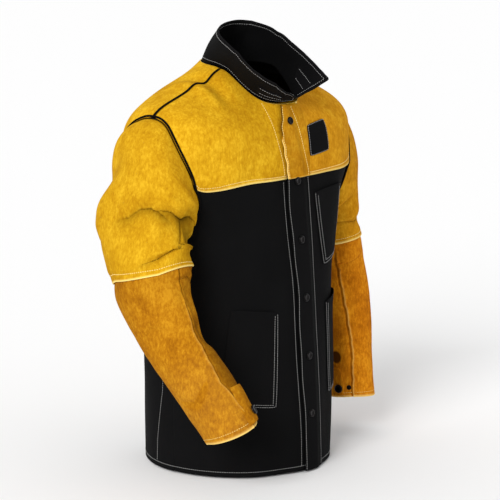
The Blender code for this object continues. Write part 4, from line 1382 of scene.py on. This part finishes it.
blending = ("jacket_body", "placket", hinge_start, hinge_end)
for name, grid, surface, low, high in (
    ("placket_cloth", placket_cloth, THREAD_GREY, 0.0, 1.012),
    ("placket_leather", placket_leather, THREAD_CREAM, 1.0, 1.97),
):
    rows = np.linspace(0.01, 0.985, 200)
    heights = mix(low, high, rows)
    edge = wander(LAP_EDGE, heights)
    shares = [(x - edge) / (PLACKET_END_X - edge) for x in (wander(LAP_SEAM, heights), edge + 0.0030)]
    lines = [grid.at(u, rows) for u in shares]
    sewn(name + "_stitches", lines, surface, *blending)

# The collar's rows of stitches: shares up it for the top and foot ones, and turns for main part and wing.
TOP_ROW, FOOT_ROW = 0.93, 0.07
main_turns, wing_turns = np.radians(np.linspace(76, 369, 400)), np.radians(np.linspace(24, 76, 90))
end_shares = np.linspace(0.08, TOP_ROW, 40)
lines = [collar_skin(main_turns, share) for share in (TOP_ROW, FOOT_ROW)]
lines.append(collar_skin(radians(9.5), end_shares))
for inset in (0.25, 0.47):
    lines.append(collar_skin(np.radians(np.linspace(-46, -10, 90)), inset, 0.0016))
points, normals = collar_skin(main_turns, TOP_ROW, -COLLAR_CLOTH)
lines.append((points, -normals))
sewn("collar_stitches", lines, THREAD_GREY, "jacket_body")
lines = [collar_skin(wing_turns, share, 0.0003) for share in (TOP_ROW, FOOT_ROW)]
inside = [collar_skin(wing_turns, TOP_ROW, -COLLAR_CLOTH - 0.0003)]
inside.append(collar_skin(wing_turns[0], end_shares, -COLLAR_CLOTH - 0.0003))
for inset in (0.31, 0.57):
    inside.append(collar_skin(np.radians(np.linspace(30, 54, 60)), inset, -COLLAR_CLOTH - 0.0018))
lines += [(points, -normals) for points, normals in inside]
sewn("collar_wing_stitches", lines, THREAD_GREY, "jacket_body", "collar_wing", wing_start, wing_end)

for side, word in SIDES:
    ring = np.linspace(0, 2 * pi, 400)
    s = band_edge(side, ring) - BAND_STITCH / UPPER_LENGTH
    line = sleeve_skin(side, s, ring, upper_lift(side, s, ring))
    start, end = shoulder_bend(side)
    sewn(f"{word}_elbow_stitches", [line], THREAD_CREAM, "jacket_body", f"{word}_upper_arm", start, end)
    line = sleeve_skin(side, 2 - CUFF_STITCH / LOWER_LENGTH, ring, -0.0006)
    sewn(f"{word}_cuff_stitches", [line], THREAD_CREAM, f"{word}_forearm")

# ---- Sheets ----------------------------------------------------------------------------------

HELD = {
    "cloth_back": ("hung", "leather_back_yoke"),
    "cloth_right_front": ("hung", "leather_right_yoke"),
    "cloth_left_front": ("hung", "leather_left_yoke"),
    "leather_back_yoke": ("draped", "neck_facing"),
    "leather_right_yoke": ("draped", "leather_back_yoke"),
    "leather_left_yoke": ("draped", "leather_back_yoke"),
    "neck_facing": ("stretched", "leather_back_yoke"),
    "placket_cloth_lap": ("hung", "placket_leather_lap"),
    "placket_leather_lap": ("hung", "leather_left_yoke"),
    "right_hip_pocket_cloth": ("stretched", "cloth_right_front"),
    "left_hip_pocket_cloth": ("stretched", "cloth_left_front"),
    "chest_pocket_cloth": ("stretched", "cloth_left_front"),
    "chest_patch_cloth": ("stretched", "leather_left_yoke"),
    "collar_stand": ("stretched", "leather_back_yoke"),
    "collar_wing_cloth": ("folded", "leather_left_yoke"),
    "loop_tape": ("stretched", "collar_stand"),
    "hook_tape": ("stretched", "collar_wing_cloth"),
    "right_upper_sleeve_leather": ("hung", "leather_right_yoke"),
    "left_upper_sleeve_leather": ("hung", "leather_left_yoke"),
    "right_lower_sleeve_leather": ("hung", "right_upper_sleeve_leather"),
    "left_lower_sleeve_leather": ("hung", "left_upper_sleeve_leather"),
    "right_cuff_tab_leather": ("stretched", "right_lower_sleeve_leather"),
    "left_cuff_tab_leather": ("stretched", "left_lower_sleeve_leather"),
}
for name, grid in SLABS.items():
    ring = np.concatenate((grid.points, grid.points[:, :1]), 1) if grid.wrap else grid.points
    width = np.linalg.norm(np.diff(ring, axis=1), axis=-1).sum(1).max()
    length = np.linalg.norm(np.diff(ring, axis=0), axis=-1).sum(0).max()
    across, up = np.diff(ring, axis=1)[:-1], np.diff(ring, axis=0)[:, :-1]
    area = np.linalg.norm(np.cross(across, up), axis=-1).sum()
    held, under = HELD[name]
    area = min(float(area), float(width * length))

# ---- Stage -----------------------------------------------------------------------------------

bpy.ops.mesh.primitive_plane_add(size=80, location=(0, 0, HEM_Z - 0.004))
floor = bpy.context.object
floor.name = "floor"
floor.data.materials.append(new_material("pale_floor", 1.0, (0.93, 0.93, 0.93))[0])

world = bpy.data.worlds.new("white_room")
bpy.context.scene.world = world
world.use_nodes = True
backdrop = world.node_tree.nodes["Background"]
backdrop.inputs["Color"].default_value = (1, 1, 1, 1)
backdrop.inputs["Strength"].default_value = 0.72

# The camera looks at TARGET from CAMERA_DISTANCE metres away, on the side TO_CAMERA.
TARGET, TO_CAMERA = Vector((0.0164, -0.0196, -0.347)), Vector((-0.7544, -0.6330, 0.1736))
CAMERA_DISTANCE, LENS, SENSOR = 4.3, 163.8, 36

sun = bpy.data.lights.new("soft_sun", "SUN")
sun.energy, sun.angle = 2.4, radians(28)
key_light = bpy.data.objects.new("key_light", sun)
key_light.rotation_euler = Vector((-0.85, -0.27, 0.46)).to_track_quat("Z", "Y").to_euler()
bpy.context.scene.collection.objects.link(key_light)
camera = bpy.data.objects.new("camera", bpy.data.cameras.new("camera"))
camera.data.lens, camera.data.sensor_width = LENS, SENSOR
camera.location = TARGET + CAMERA_DISTANCE * TO_CAMERA
camera.rotation_euler = (TARGET - camera.location).to_track_quat("-Z", "Y").to_euler()
bpy.context.scene.collection.objects.link(camera)
bpy.context.scene.camera = camera
bpy.context.scene.view_settings.view_transform = "Standard"
